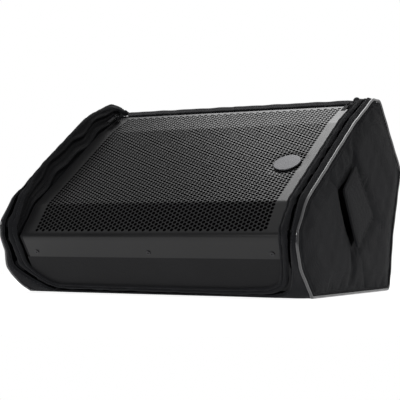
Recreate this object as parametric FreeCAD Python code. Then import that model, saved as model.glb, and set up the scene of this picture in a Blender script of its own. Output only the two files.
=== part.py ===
import FreeCAD, Part
import math
import os

# Stage monitor wedge in its open-front padded transport cover. Millimetres.
# +X runs across the width, -Y is the front and +Z is up. The origin is on the ground under the
# middle of the whole part. Profiles are drawn as (depth, height) pairs, where depth is measured
# back from the nose of the wedge, and every shape is moved forward by HALF_DEPTH when saved.

os.makedirs("parts", exist_ok=True)
Vec = FreeCAD.Vector

# ---- driving dimensions ------------------------------------------------------------------
HALF_DEPTH = 230.123

CABINET_HALF_WIDTH = 258.0
PANEL = 15.0
GRILLE_HALF_WIDTH = 252.0
SHEET = 1.5
SCREW_PITCH = 233.0

NOSE = (-0.8, 101.0)
LOWER_CREASE = (43.7, 158.1)
UPPER_CREASE = (254.1, 301.7)
GRILLE_TOP = (322.0, 336.6)
FLANGE_HEIGHT = 44.5
CABINET_FRONT_FOOT = (60.5, 12.0)
CABINET_BACK_FOOT = (394.0, 12.0)
CABINET_BACK_BEND = (443.0, 222.0)
CABINET_TOP_BACK = (350.0, 334.5)

BAFFLE_DEPTH = 26.0
BAFFLE_THICK = 18.0
WOOFER_UP_SLOPE = 130.0
FLANGE_RADIUS = 156.0
CUTOUT_RADIUS = 142.0
PORT_X = 186.0
PORT_SPREAD = 76.0
PORT_RADIUS = 28.0
PORT_LENGTH = 96.0

COVER_HALF_WIDTH = 284.0
SIDE_PAD = 11.0
COVER_WALL = 4.0
FLOOR_THICK = 4.0
LIP_HEIGHT = 8.0
BINDING_HEIGHT = 5.0
BAND_INNER_X = 262.0
ZIP_INNER_X = 250.0
COVER_FRONT_FOOT = (62.0, 0.0)
COVER_NOSE = (-14.2, 110.9)
COVER_LOWER_CREASE = (37.2, 165.7)
COVER_UPPER_CREASE = (249.0, 310.3)
COVER_TOP_FRONT = (334.0, 354.0)
COVER_BACK_FOOT = (411.0, 0.0)
SIDE_OUTLINE = [(67.0, 0.0), (17.0, 50.0), (0.0, 99.0), (42.0, 155.0), (243.0, 292.0),
                (331.0, 346.0), (364.0, 347.0), (470.0, 224.0), (431.0, 113.0), (410.0, 0.0)]
SIDE_ROUNDING = [8.0, 40.0, 35.0, 60.0, 60.0, 12.0, 8.0, 12.0, 12.0, 18.0]
LID_LINE = [(334.0, 347.5), (361.0, 343.5), (464.0, 224.0), (432.0, 119.0)]
LID_THICK = 5.5
LID_GAP = 0.5
LID_HALF_WIDTH = 246.0
PIPING_RADIUS = 2.5

FLAP_TOP = (233.0, 223.0)
FLAP_FRONT = (168.0, 178.0)
FLAP_BOTTOM = (224.0, 78.0)
FLAP_BACK = (316.0, 137.0)
FLAP_THICK = 5.0
FLAP_TILT = 4.0
HANDLE_CENTRE = (238.0, 150.0)
HANDLE_LENGTH = 138.0
HANDLE_HEIGHT = 72.0
HANDLE_DEPTH = 38.0

AMP_HALF_WIDTH = 150.0
AMP_LOW = 20.0
AMP_HIGH = 196.0
AMP_PLATE = 3.0
CONTROL_ROW = 62.0
WINDOW_HALF_WIDTH = 146.0
WINDOW_LOW = 27.0
WINDOW_HIGH = 104.0


# ---- small helpers -----------------------------------------------------------------------
def unit(a, b):
    """Unit (depth, height) direction from a to b."""
    length = math.hypot(b[0] - a[0], b[1] - a[1])
    return ((b[0] - a[0]) / length, (b[1] - a[1]) / length)


def shift(point, direction, distance):
    return (point[0] + direction[0] * distance, point[1] + direction[1] * distance)


def cross_lines(p, d, q, e):
    """Where the line from p along d meets the line from q along e."""
    det = d[0] * e[1] - d[1] * e[0]
    t = ((q[0] - p[0]) * e[1] - (q[1] - p[1]) * e[0]) / det
    return shift(p, d, t)


def offset_path(points, distance):
    """An open profile moved to its left-hand side by distance, with mitred corners."""
    dirs = [unit(a, b) for a, b in zip(points, points[1:])]
    moved = []
    for i, point in enumerate(points):
        if i == 0 or i == len(points) - 1:
            d = dirs[0] if i == 0 else dirs[-1]
            moved.append(shift(point, (-d[1], d[0]), distance))
            continue
        d, e = dirs[i - 1], dirs[i]
        p = shift(points[i - 1], (-d[1], d[0]), distance)
        q = shift(point, (-e[1], e[0]), distance)
        moved.append(cross_lines(p, d, q, e))
    return moved


def strip_profile(points, near, far):
    """Closed outline between two offsets of one open profile."""
    return offset_path(points, near) + offset_path(points, far)[::-1]


def prism(points, x0, x1):
    """Solid from a (depth, height) outline, from x0 to x1."""
    wire = Part.makePolygon([Vec(x0, y, z) for y, z in points + points[:1]])
    return Part.Face(wire).extrude(Vec(x1 - x0, 0, 0))


def box(x0, x1, y0, y1, z0, z1):
    return Part.makeBox(x1 - x0, y1 - y0, z1 - z0, Vec(x0, y0, z0))


def round_x_edges(shape, radius, corners):
    """Fillet the edges that run along X through the given (depth, height) corners."""
    chosen = []
    for edge in shape.Edges:
        a, b = edge.Vertexes[0].Point, edge.Vertexes[-1].Point
        if abs(a.y - b.y) > 1e-6 or abs(a.z - b.z) > 1e-6:
            continue
        if any(math.hypot(a.y - c[0], a.z - c[1]) < 0.05 for c in corners):
            chosen.append(edge)
    return shape.makeFillet(radius, chosen)


def revolve(profile):
    """Solid of revolution about Z from (radius, height) points."""
    wire = Part.makePolygon([Vec(r, 0, h) for r, h in profile + profile[:1]])
    return Part.Face(wire).revolve(Vec(0, 0, 0), Vec(0, 0, 1), 360)


def ring(inner, outer, low, high):
    return revolve([(inner, low), (outer, low), (outer, high), (inner, high)])


def around(shape, count, start=0.0):
    """Copies of a shape spaced evenly about Z."""
    copies = []
    for i in range(count):
        copy = shape.copy()
        copy.rotate(Vec(0, 0, 0), Vec(0, 0, 1), start + 360.0 * i / count)
        copies.append(copy)
    return copies


def mirrored(shape):
    return shape.mirror(Vec(0, 0, 0), Vec(1, 0, 0))


def both_sides(shape):
    return Part.makeCompound([shape, mirrored(shape)])


def save(name, shape):
    moved = shape.copy()
    moved.translate(Vec(0, -HALF_DEPTH, 0))
    for solid in moved.Solids:
        if not solid.isValid():
            print("invalid solid in", name)
    moved.exportStep("parts/" + name + ".step")


# ---- frames that tilted groups of pieces are built in -----------------------------------
SLOPE = unit(LOWER_CREASE, UPPER_CREASE)
SLOPE_OUT = (-SLOPE[1], SLOPE[0])
SLOPE_ANGLE = math.degrees(math.atan2(SLOPE[1], SLOPE[0]))
BACK_UP = unit(CABINET_BACK_FOOT, CABINET_BACK_BEND)
BACK_OUT = (BACK_UP[1], -BACK_UP[0])
BACK_ANGLE = math.degrees(math.atan2(BACK_UP[0], BACK_UP[1]))


def slope_point(up, out):
    """Point up the middle facet from the lower crease, out from the grille's face."""
    return shift(shift(LOWER_CREASE, SLOPE, up), SLOPE_OUT, out)


def on_baffle(shape, x, up):
    """Place a shape built about Z so that Z leaves the baffle's face at x and up the slope."""
    placed = shape.copy()
    placed.rotate(Vec(0, 0, 0), Vec(1, 0, 0), SLOPE_ANGLE)
    y, z = slope_point(up, -BAFFLE_DEPTH)
    placed.translate(Vec(x, y, z))
    return placed


def at_woofer(shape):
    return on_baffle(shape, 0.0, WOOFER_UP_SLOPE)


def back_point(up, out):
    """Point up the lower back wall from its foot, out from its outer face."""
    return shift(shift(CABINET_BACK_FOOT, BACK_UP, up), BACK_OUT, out)


def on_back(shape):
    """Place a shape built with X across, Y up the back wall and Z out of it."""
    placed = shape.copy()
    placed.rotate(Vec(0, 0, 0), Vec(1, 0, 0), 90.0)
    placed.rotate(Vec(0, 0, 0), Vec(0, 0, 1), 180.0)
    placed.rotate(Vec(0, 0, 0), Vec(1, 0, 0), -BACK_ANGLE)
    placed.translate(Vec(0, CABINET_BACK_FOOT[0], CABINET_BACK_FOOT[1]))
    return placed


# ---- cabinet -----------------------------------------------------------------------------
LOWER_FACE = unit(CABINET_FRONT_FOOT, NOSE)
FLANGE_BOTTOM = shift(NOSE, LOWER_FACE, -FLANGE_HEIGHT)
GRILLE_LINE = [FLANGE_BOTTOM, NOSE, LOWER_CREASE, UPPER_CREASE, GRILLE_TOP]
UNDER_GRILLE = offset_path(GRILLE_LINE, -SHEET - 0.1)


def cabinet_side():
    outline = [CABINET_FRONT_FOOT, FLANGE_BOTTOM] + UNDER_GRILLE
    outline += [CABINET_TOP_BACK, CABINET_BACK_BEND, CABINET_BACK_FOOT]
    side = prism(outline, CABINET_HALF_WIDTH - PANEL, CABINET_HALF_WIDTH)
    side = round_x_edges(side, 5.0, [UNDER_GRILLE[1]])
    y, z = HANDLE_CENTRE
    hole = box(0, CABINET_HALF_WIDTH + 1, y - HANDLE_LENGTH / 2 - 0.2, y + HANDLE_LENGTH / 2 + 0.2,
               z - HANDLE_HEIGHT / 2 - 0.2, z + HANDLE_HEIGHT / 2 + 0.2)
    return side.cut(hole)


def between_sides(points):
    inner = CABINET_HALF_WIDTH - PANEL
    return prism(points, -inner, inner)


def cabinet_front():
    face = [CABINET_FRONT_FOOT, FLANGE_BOTTOM]
    low_in, high_in = offset_path(face, -PANEL)
    recess = offset_path([FLANGE_BOTTOM, NOSE], -SHEET - 0.1)
    top_out = shift(recess[1], LOWER_FACE, -6.0)
    top_in = shift(top_out, (LOWER_FACE[1], -LOWER_FACE[0]), PANEL - SHEET - 0.1)
    floor_in = cross_lines(low_in, LOWER_FACE, (0.0, CABINET_FRONT_FOOT[1]), (1.0, 0.0))
    front = between_sides([CABINET_FRONT_FOOT, FLANGE_BOTTOM, recess[0], top_out, top_in, floor_in])
    return front


def cabinet_bottom():
    z0 = CABINET_FRONT_FOOT[1]
    face = offset_path([CABINET_FRONT_FOOT, FLANGE_BOTTOM], -PANEL)
    front_low = cross_lines(face[0], LOWER_FACE, (0.0, z0), (1.0, 0.0))
    front_high = cross_lines(face[0], LOWER_FACE, (0.0, z0 + PANEL), (1.0, 0.0))
    wall = back_point(0.0, -PANEL)
    back_low = cross_lines(wall, BACK_UP, (0.0, z0), (1.0, 0.0))
    back_high = cross_lines(wall, BACK_UP, (0.0, z0 + PANEL), (1.0, 0.0))
    return between_sides([front_low, front_high, back_high, back_low])


def cabinet_baffle():
    face = slope_point(0.0, -BAFFLE_DEPTH)
    back = slope_point(0.0, -BAFFLE_DEPTH - BAFFLE_THICK)
    panel_back = offset_path([CABINET_FRONT_FOOT, FLANGE_BOTTOM], -PANEL)[0]
    low_out = cross_lines(face, SLOPE, panel_back, LOWER_FACE)
    low_in = cross_lines(back, SLOPE, panel_back, LOWER_FACE)
    deck = cabinet_deck_outline()
    high_out = cross_lines(face, SLOPE, deck[1], unit(deck[1], deck[2]))
    high_in = shift(high_out, SLOPE_OUT, -BAFFLE_THICK)
    baffle = between_sides([low_out, high_out, high_in, low_in])
    cuts = [at_woofer(Part.makeCylinder(CUTOUT_RADIUS, 60, Vec(0, 0, -40)))]
    for x, up in port_places():
        cuts.append(on_baffle(Part.makeCylinder(PORT_RADIUS + 3.0, 60, Vec(0, 0, -40)), x, up))
    for cut in cuts:
        baffle = baffle.cut(cut)
    return baffle


def cabinet_deck_outline():
    """Top deck: a batten under the grille's top edge, running back to the upper back wall."""
    front = UNDER_GRILLE[-1]
    low_front = shift(front, (0.0, -1.0), 26.0)
    upper = [CABINET_BACK_BEND, CABINET_TOP_BACK]
    inner = offset_path(upper, PANEL)
    low_back = cross_lines(inner[0], unit(*inner), low_front, (1.0, 0.0))
    high_back = cross_lines(inner[0], unit(*inner), front, unit(front, CABINET_TOP_BACK))
    return [front, low_front, low_back, high_back]


def cabinet_back_upper():
    upper = [CABINET_BACK_BEND, CABINET_TOP_BACK]
    inner = offset_path(upper, PANEL)
    bend_in = cross_lines(inner[0], unit(*inner), back_point(0.0, -PANEL), BACK_UP)
    return between_sides([CABINET_BACK_BEND, CABINET_TOP_BACK, inner[1], bend_in])


def cabinet_back_lower():
    wall = back_point(0.0, -PANEL)
    low = cross_lines(wall, BACK_UP, (0.0, CABINET_BACK_FOOT[1]), (1.0, 0.0))
    inner = offset_path([CABINET_BACK_BEND, CABINET_TOP_BACK], PANEL)
    bend_in = cross_lines(inner[0], unit(*inner), wall, BACK_UP)
    back = between_sides([CABINET_BACK_FOOT, CABINET_BACK_BEND, bend_in, low])
    rebate = box(-AMP_HALF_WIDTH - 0.3, AMP_HALF_WIDTH + 0.3, AMP_LOW - 0.3, AMP_HIGH + 0.3,
                 -AMP_PLATE, 5)
    opening = box(8 - AMP_HALF_WIDTH, AMP_HALF_WIDTH - 8, AMP_LOW + 8, AMP_HIGH - 8, -30, 5)
    return back.cut(on_back(rebate)).cut(on_back(opening))


def cabinet_battens():
    """Top deck batten, and the upright pair that ties the floor panel to the baffle."""
    y0, y1 = 116.0, 140.0
    z0 = CABINET_FRONT_FOOT[1] + PANEL
    under = slope_point(0.0, -BAFFLE_DEPTH - BAFFLE_THICK)
    z_front = cross_lines(under, SLOPE, (y0, 0.0), (0.0, 1.0))[1]
    z_back = cross_lines(under, SLOPE, (y1, 0.0), (0.0, 1.0))[1]
    upright = prism([(y0, z0), (y0, z_front), (y1, z_back), (y1, z0)], 222.0, 240.0)
    deck = between_sides(cabinet_deck_outline())
    return Part.makeCompound([deck, upright, mirrored(upright)])


def port_places():
    ups = (WOOFER_UP_SLOPE - PORT_SPREAD, WOOFER_UP_SLOPE + PORT_SPREAD)
    return [(x, up) for x in (-PORT_X, PORT_X) for up in ups]


def port_tubes():
    """Reflex port tubes with a flared collar on the face of the baffle."""
    tube = revolve([
        (PORT_RADIUS, 2.0), (PORT_RADIUS + 9.0, 2.0), (PORT_RADIUS + 9.0, 0.0),
        (PORT_RADIUS + 2.8, 0.0), (PORT_RADIUS + 2.8, -PORT_LENGTH), (PORT_RADIUS, -PORT_LENGTH),
    ])
    return Part.makeCompound([on_baffle(tube, x, up) for x, up in port_places()])


def damping_foam():
    """Foam lining on the floor of the cabinet and on the upper back wall."""
    z0 = CABINET_FRONT_FOOT[1] + PANEL
    floor = box(-200, 200, 150, 340, z0, z0 + 8.0)
    wall = offset_path([CABINET_BACK_BEND, CABINET_TOP_BACK], PANEL)
    along = unit(*wall)
    start, end = shift(wall[0], along, 26.0), shift(wall[0], along, 118.0)
    pad = prism([start, end] + offset_path([start, end], 18.0)[::-1], -225, 225)
    return Part.makeCompound([floor, pad])


def rubber_feet():
    height = CABINET_FRONT_FOOT[1] - FLOOR_THICK - 0.1
    foot = Part.makeCone(12.0, 14.0, height, Vec(0, 0, 0))
    places = [(x, y) for x in (-215, 215) for y in (95, 360)]
    feet = []
    for x, y in places:
        copy = foot.copy()
        copy.translate(Vec(x, y, CABINET_FRONT_FOOT[1] - height))
        feet.append(copy)
    return Part.makeCompound(feet)


def handle_cup():
    """Recessed plastic grab cup let into the side panel, with a rim on the outside."""
    y, z = HANDLE_CENTRE
    half_y, half_z = HANDLE_LENGTH / 2, HANDLE_HEIGHT / 2
    x = CABINET_HALF_WIDTH
    wall = 2.5
    rim = box(x, x + 2.5, y - half_y - 9, y + half_y + 9, z - half_z - 9, z + half_z + 9)
    body = box(x - HANDLE_DEPTH, x, y - half_y, y + half_y, z - half_z, z + half_z)
    hollow = box(x - HANDLE_DEPTH + wall, x + 3, y - half_y + wall, y + half_y - wall,
                 z - half_z + wall, z + half_z - wall)
    return rim.fuse(body).cut(hollow).removeSplitter()


def handle_screws():
    """Four countersunk screws in the rim of each grab cup."""
    y, z = HANDLE_CENTRE
    screws = []
    for dy in (-1, 1):
        for dz in (-1, 1):
            place = Vec(CABINET_HALF_WIDTH + 2.5, y + dy * (HANDLE_LENGTH / 2 + 4.5),
                        z + dz * (HANDLE_HEIGHT / 2 + 4.5))
            screws.append(Part.makeCylinder(3.2, 1.2, place, Vec(1, 0, 0)))
    return both_sides(Part.makeCompound(screws))


# ---- grille ------------------------------------------------------------------------------
def grille():
    """One folded steel sheet: flange, rounded nose and three flat facets."""
    outline = strip_profile(GRILLE_LINE, 0.0, -SHEET)
    sheet = prism(outline, -GRILLE_HALF_WIDTH, GRILLE_HALF_WIDTH)
    count = len(GRILLE_LINE)
    sheet = round_x_edges(sheet, 6.0, [outline[1]])
    sheet = round_x_edges(sheet, 4.5, [outline[2 * count - 2]])
    for x in (-SCREW_PITCH, 0.0, SCREW_PITCH):
        sheet = sheet.cut(grille_screw_shape(x, 2.2, 20.0, -10.0))
    return sheet


def grille_screw_shape(x, radius, length, start):
    """Cylinder square to the lower front face at the height of the grille screws."""
    along = unit(FLANGE_BOTTOM, NOSE)
    out = (-along[1], along[0])
    y, z = shift(shift(FLANGE_BOTTOM, along, 10.5), out, start)
    return Part.makeCylinder(radius, length, Vec(x, y, z), Vec(0, out[0], out[1]))


def grille_screws():
    screws = []
    for x in (-SCREW_PITCH, 0.0, SCREW_PITCH):
        head = grille_screw_shape(x, 4.0, 1.3, 0.0)
        shank = grille_screw_shape(x, 2.0, 1.6, -1.6)
        socket = grille_screw_shape(x, 1.5, 2.0, 0.4)
        screws.append(head.fuse(shank).cut(socket).removeSplitter())
    return Part.makeCompound(screws)


def grille_foam():
    """Thin acoustic foam behind the middle facet."""
    facet = [slope_point(6.0, 0.0), slope_point(248.0, 0.0)]
    return prism(strip_profile(facet, -SHEET - 0.1, -SHEET - 4.1), -236.0, 236.0)


def grille_badge():
    """Blank round badge that stands just proud of the middle facet."""
    disc = Part.makeCylinder(24.5, 2.4)
    disc = disc.makeFillet(1.2, [e for e in disc.Edges if abs(e.BoundBox.ZMin - 2.4) < 1e-6])
    return on_baffle_face(disc, 201.7, 119.0, 0.05)


def on_baffle_face(shape, x, up, out):
    placed = shape.copy()
    placed.rotate(Vec(0, 0, 0), Vec(1, 0, 0), SLOPE_ANGLE)
    y, z = slope_point(up, out)
    placed.translate(Vec(x, y, z))
    return placed


# ---- coaxial driver, built about Z with the face of the baffle at Z = 0 -----------------
CONE_RADIUS = 128.0
COIL_RADIUS = 31.5
COIL_OUTER = 33.2
NECK = -62.0
PLATE_TOP = -80.0
PLATE_BOTTOM = -90.0
MAGNET_BOTTOM = -110.0
YOKE_BOTTOM = -120.0
HF_BODY_BOTTOM = -142.0
HF_END = -166.0


def woofer_basket():
    """Cast frame: mounting flange, six arms between windows, and the seat of the motor."""
    basket = revolve([
        (141.0, 5.0), (FLANGE_RADIUS, 5.0), (FLANGE_RADIUS, 0.0), (141.0, 0.0),
        (139.0, -14.0), (80.0, -66.0), (80.0, PLATE_TOP), (38.0, PLATE_TOP), (38.0, -76.0),
        (70.0, -76.0), (74.0, -66.0), (134.0, -12.0),
    ])
    window = Part.makeBox(62, 56, 40, Vec(84, -28, -58))
    for cut in around(window, 6, 30.0):
        basket = basket.cut(cut)
    for hole in around(Part.makeCylinder(2.8, 20, Vec(149.5, 0, -10)), 8, 22.5):
        basket = basket.cut(hole)
    return basket


def woofer_screws():
    screw = Part.makeCylinder(4.6, 3.0, Vec(149.5, 0, 7.0))
    screw = screw.fuse(Part.makeCylinder(2.5, 7.0, Vec(149.5, 0, 0)))
    socket = Part.makeCylinder(2.0, 2.0, Vec(149.5, 0, 8.6))
    return Part.makeCompound(around(screw.cut(socket).removeSplitter(), 8, 22.5))


def woofer_gasket():
    gasket = ring(147.5, FLANGE_RADIUS - 0.5, 5.0, 7.0)
    for hole in around(Part.makeCylinder(2.8, 20, Vec(149.5, 0, 0)), 8, 22.5):
        gasket = gasket.cut(hole)
    return gasket


def half_roll(start, end, base, radius, side):
    """Points of a half-round roll from one radius to another, above a base height."""
    steps = 10
    middle = (start + end) / 2
    points = []
    for i in range(steps + 1):
        angle = math.pi * i / steps
        points.append((middle + side * radius * math.cos(angle), base + radius * math.sin(angle)))
    return points


def woofer_surround():
    outer = half_roll(CONE_RADIUS, 141.0, 5.0, 7.0, 1.0)
    inner = half_roll(CONE_RADIUS, 141.0, 5.0, 6.0, -1.0)
    profile = [(147.2, 5.0), (147.2, 6.0), (141.5, 6.0)] + outer[1:-1]
    profile += [(CONE_RADIUS - 1.0, 6.0), (121.0, 6.0), (121.0, 5.0), (CONE_RADIUS, 5.0)]
    profile += inner[1:-1] + [(141.0, 5.0)]
    return revolve(profile)


def woofer_cone():
    return revolve([
        (COIL_RADIUS, NECK), (COIL_OUTER, NECK), (121.0, 3.2), (CONE_RADIUS, 3.6),
        (CONE_RADIUS, 5.0), (121.0, 5.0), (COIL_RADIUS, NECK + 1.8),
    ])


def woofer_spider():
    """Corrugated centring disc between the coil and the frame."""
    inner, outer = COIL_OUTER, 62.0
    base = -72.0
    waves = 5
    steps = 40
    top, low = [], []
    for i in range(steps + 1):
        share = i / steps
        r = inner + (outer - inner) * share
        h = base + 1.5 * math.sin(2 * math.pi * waves * share)
        top.append((r, h + 0.5))
        low.append((r, h - 0.5))
    return revolve(top + low[::-1])


def woofer_spider_ring():
    return ring(62.0, 69.0, -76.0, -71.0)


def voice_coil():
    return ring(COIL_RADIUS, COIL_OUTER, -101.0, NECK)


def woofer_top_plate():
    return ring(34.4, 78.0, PLATE_BOTTOM, PLATE_TOP)


def woofer_magnet():
    return ring(46.0, 84.0, MAGNET_BOTTOM, PLATE_BOTTOM)


def woofer_yoke():
    """Back plate and hollow pole, one turned piece."""
    return revolve([
        (16.0, YOKE_BOTTOM), (80.0, YOKE_BOTTOM), (80.0, MAGNET_BOTTOM), (30.0, MAGNET_BOTTOM),
        (30.0, PLATE_TOP), (16.0, PLATE_TOP),
    ])


def horn():
    """High-frequency horn standing on the pole, in the middle of the cone."""
    steps = 8
    outer, inner = [], []
    for i in range(steps + 1):
        share = i / steps
        height = PLATE_TOP + 5.0 + share * 69.0
        radius = 15.0 + 31.0 * share ** 1.8
        inner.append((radius, height))
        outer.append((radius + 2.2, height))
    base = [(15.0, PLATE_TOP), (28.0, PLATE_TOP), (28.0, PLATE_TOP + 5.0)]
    return revolve(base + outer[1:] + inner[::-1])


def hf_magnet():
    return ring(16.0, 42.0, HF_BODY_BOTTOM, YOKE_BOTTOM)


def hf_suspension():
    return ring(24.0, 32.0, HF_BODY_BOTTOM - 2.4, HF_BODY_BOTTOM - 2.0)


def hf_clamp_ring():
    return ring(28.0, 36.0, HF_BODY_BOTTOM - 2.0, HF_BODY_BOTTOM)


def hf_diaphragm():
    """Thin dome of the compression driver."""
    steps = 8
    outer, inner = [], []
    for i in range(steps + 1):
        share = i / steps
        radius = 24.0 * (1.0 - share)
        height = HF_BODY_BOTTOM - 2.2 - 6.0 * (1.0 - (1.0 - share) ** 2)
        outer.append((radius, height - 0.35))
        inner.append((radius, height + 0.15))
    return revolve(outer + inner[::-1])


def hf_cover():
    return revolve([
        (0.0, HF_END), (40.0, HF_END), (42.0, HF_END + 2.0), (42.0, HF_BODY_BOTTOM),
        (38.0, HF_BODY_BOTTOM), (38.0, HF_END + 4.0), (0.0, HF_END + 4.0),
    ])


# ---- amplifier module, drawn with X across, Y up the back wall and Z outwards -----------
XLR_IN_X, XLR_LINK_X, KNOB_X, BUTTON_X = 104.0, 66.0, 22.0, -10.0
LIGHT_X, ROCKER_X, INLET_X = -34.0, -62.0, -106.0
SINK_LOW, SINK_HIGH = 108.0, 186.0


def round_hole(x, y, radius):
    return Part.makeCylinder(radius, 40, Vec(x, y, -20))


def amp_panel():
    """Aluminium plate that carries the controls, with an opening for the heatsink."""
    plate = box(-AMP_HALF_WIDTH, AMP_HALF_WIDTH, AMP_LOW, AMP_HIGH, -AMP_PLATE, 0)
    plate = plate.makeFillet(6.0, [e for e in plate.Edges if abs(e.BoundBox.ZLength - 3) < 1e-3
                                   and e.BoundBox.XLength < 1e-3])
    cuts = [round_hole(XLR_IN_X, CONTROL_ROW, 12.2), round_hole(XLR_LINK_X, CONTROL_ROW, 12.2)]
    cuts += [round_hole(KNOB_X, CONTROL_ROW, 4.2), round_hole(BUTTON_X, CONTROL_ROW, 5.1)]
    cuts += [round_hole(LIGHT_X, CONTROL_ROW, 2.6), round_hole(INLET_X, CONTROL_ROW, 12.2)]
    cuts.append(box(ROCKER_X - 10.7, ROCKER_X + 10.7, CONTROL_ROW - 14.2, CONTROL_ROW + 14.2, -9, 9))
    cuts.append(box(-112, 112, SINK_LOW, SINK_HIGH, -9, 9))
    cuts.append(box(XLR_IN_X - 5.2, XLR_IN_X + 5.2, CONTROL_ROW + 9, CONTROL_ROW + 15.4, -9, 9))
    for x, y in amp_screw_places():
        cuts.append(round_hole(x, y, 2.2))
    for cut in cuts:
        plate = plate.cut(cut)
    return on_back(plate)


def amp_screw_places():
    rows = (AMP_LOW + 4.5, AMP_HIGH - 4.5)
    return [(x, y) for x in (-142.0, -50.0, 50.0, 142.0) for y in rows]


def amp_screws():
    screws = []
    for x, y in amp_screw_places():
        head = Part.makeCylinder(3.6, 1.0, Vec(x, y, 0))
        shank = Part.makeCylinder(2.0, 3.0, Vec(x, y, -3.0))
        socket = Part.makeCylinder(1.3, 1.0, Vec(x, y, 0.4))
        screws.append(head.fuse(shank).cut(socket).removeSplitter())
    return on_back(Part.makeCompound(screws))


def amp_heatsink():
    """Finned heatsink that fills the opening in the plate, fins upright."""
    base = box(-116, 116, SINK_LOW - 3, SINK_HIGH + 3, -24, -18)
    rim = box(-111.8, 111.8, SINK_LOW + 0.2, SINK_HIGH - 0.2, -18, -17.0)
    sink = base.fuse(rim)
    fins = 25
    for i in range(fins):
        x = -108.0 + 216.0 * i / (fins - 1)
        sink = sink.fuse(box(x - 1.2, x + 1.2, SINK_LOW + 0.3, SINK_HIGH - 0.3, -17.5, -0.5))
    return on_back(sink.removeSplitter())


def circuit_board():
    return on_back(box(-128, 128, 34, 172, -44, -42.4))


def board_spacers():
    """Four pillars between the heatsink's base or the plate and the board."""
    pillars = []
    for x in (-105, 105):
        pillars.append(Part.makeCylinder(3.5, 18.4, Vec(x, 150, -42.4)))
    for x in (-122, 122):
        pillars.append(Part.makeCylinder(3.5, 42.4 - AMP_PLATE, Vec(x, 42, -42.4)))
    return on_back(Part.makeCompound(pillars))


def board_components():
    """Capacitors, power transistors and coils on the inner face of the board."""
    pieces = []
    for x in (-92, -62):
        pieces.append(Part.makeCylinder(11.0, 28.0, Vec(x, 74, -44), Vec(0, 0, -1)))
    for x in (10, 40, 70):
        pieces.append(ring(5.0, 12.0, -56, -44).translated(Vec(x, 62, 0)))
    pieces.append(box(80, 112, 112, 140, -62, -44))
    for x in (-30, -12, 6, 24):
        pieces.append(box(x - 6, x + 6, 108, 126, -49, -44))
    return on_back(Part.makeCompound(pieces))


def power_transformer():
    """Laminated switching transformer with its winding."""
    core = box(-112, -62, 108, 150, -76, -44)
    winding = box(-104, -70, 114, 144, -80, -76)
    return on_back(core.fuse(winding).removeSplitter())


def xlr_socket(x, pins):
    """Round panel socket: flange, barrel and three contacts."""
    flange = box(x - 15.5, x + 15.5, CONTROL_ROW - 15.5, CONTROL_ROW + 15.5, 0, 2.0)
    flange = flange.makeFillet(4.0, [e for e in flange.Edges if e.BoundBox.ZLength > 1.9
                                     and e.BoundBox.XLength < 1e-3])
    barrel = Part.makeCylinder(12.0, 26.0, Vec(x, CONTROL_ROW, -26))
    bore = Part.makeCylinder(9.6, 26.0, Vec(x, CONTROL_ROW, -22))
    socket = flange.fuse(barrel).cut(bore)
    if not pins:
        core = Part.makeCylinder(7.0, 20.0, Vec(x, CONTROL_ROW, -22))
        for i in range(3):
            angle = math.radians(90 + 120 * i)
            centre = Vec(x + 3.8 * math.cos(angle), CONTROL_ROW + 3.8 * math.sin(angle), -16)
            core = core.cut(Part.makeCylinder(1.3, 20.0, centre))
        slot = box(x - 5.2, x + 5.2, CONTROL_ROW + 9, CONTROL_ROW + 15.4, -12, 3)
        return socket.fuse(core).removeSplitter().cut(slot)
    for i in range(3):
        angle = math.radians(90 + 120 * i)
        centre = Vec(x + 4.6 * math.cos(angle), CONTROL_ROW + 4.6 * math.sin(angle), -22.5)
        socket = socket.fuse(Part.makeCylinder(1.2, 14.5, centre))
    return socket


def xlr_latch():
    """Push tab that frees the plug from the input socket."""
    x = XLR_IN_X
    tab = box(x - 4.8, x + 4.8, CONTROL_ROW + 10.0, CONTROL_ROW + 14.9, -8.0, 4.0)
    return on_back(tab)


def level_knob():
    knob = Part.makeCylinder(9.0, 12.0, Vec(KNOB_X, CONTROL_ROW, 1.0))
    knob = knob.makeFillet(1.2, [e for e in knob.Edges if abs(e.BoundBox.ZMin - 13) < 1e-3])
    knob = knob.fuse(Part.makeCylinder(4.0, 8.0, Vec(KNOB_X, CONTROL_ROW, -7.0)))
    pointer = box(KNOB_X - 0.7, KNOB_X + 0.7, CONTROL_ROW + 2, CONTROL_ROW + 12, 12.2, 15)
    return on_back(knob.cut(pointer))


def level_control_body():
    """Rotary potentiometer behind the plate."""
    return on_back(box(KNOB_X - 8, KNOB_X + 8, CONTROL_ROW - 8, CONTROL_ROW + 8, -20, -7.4))


def preset_button():
    cap = Part.makeCylinder(5.0, 9.0, Vec(BUTTON_X, CONTROL_ROW, -5.0))
    cap = cap.makeFillet(0.8, [e for e in cap.Edges if abs(e.BoundBox.ZMin - 4) < 1e-3])
    return on_back(cap)


def preset_switch_body():
    return on_back(box(BUTTON_X - 6, BUTTON_X + 6, CONTROL_ROW - 6, CONTROL_ROW + 6, -16, -8.6))


def status_light():
    lens = Part.makeCylinder(2.5, 5.0, Vec(LIGHT_X, CONTROL_ROW, -4.0))
    lens = lens.makeFillet(0.7, [e for e in lens.Edges if abs(e.BoundBox.ZMin - 1) < 1e-3])
    return on_back(lens)


def rocker_frame():
    x, y = ROCKER_X, CONTROL_ROW
    bezel = box(x - 12.5, x + 12.5, y - 16, y + 16, 0, 1.8)
    body = box(x - 10.5, x + 10.5, y - 14, y + 14, -22, 0)
    hollow = box(x - 8.2, x + 8.2, y - 12.2, y + 12.2, -17, 3)
    return on_back(bezel.fuse(body).cut(hollow).removeSplitter())


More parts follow.
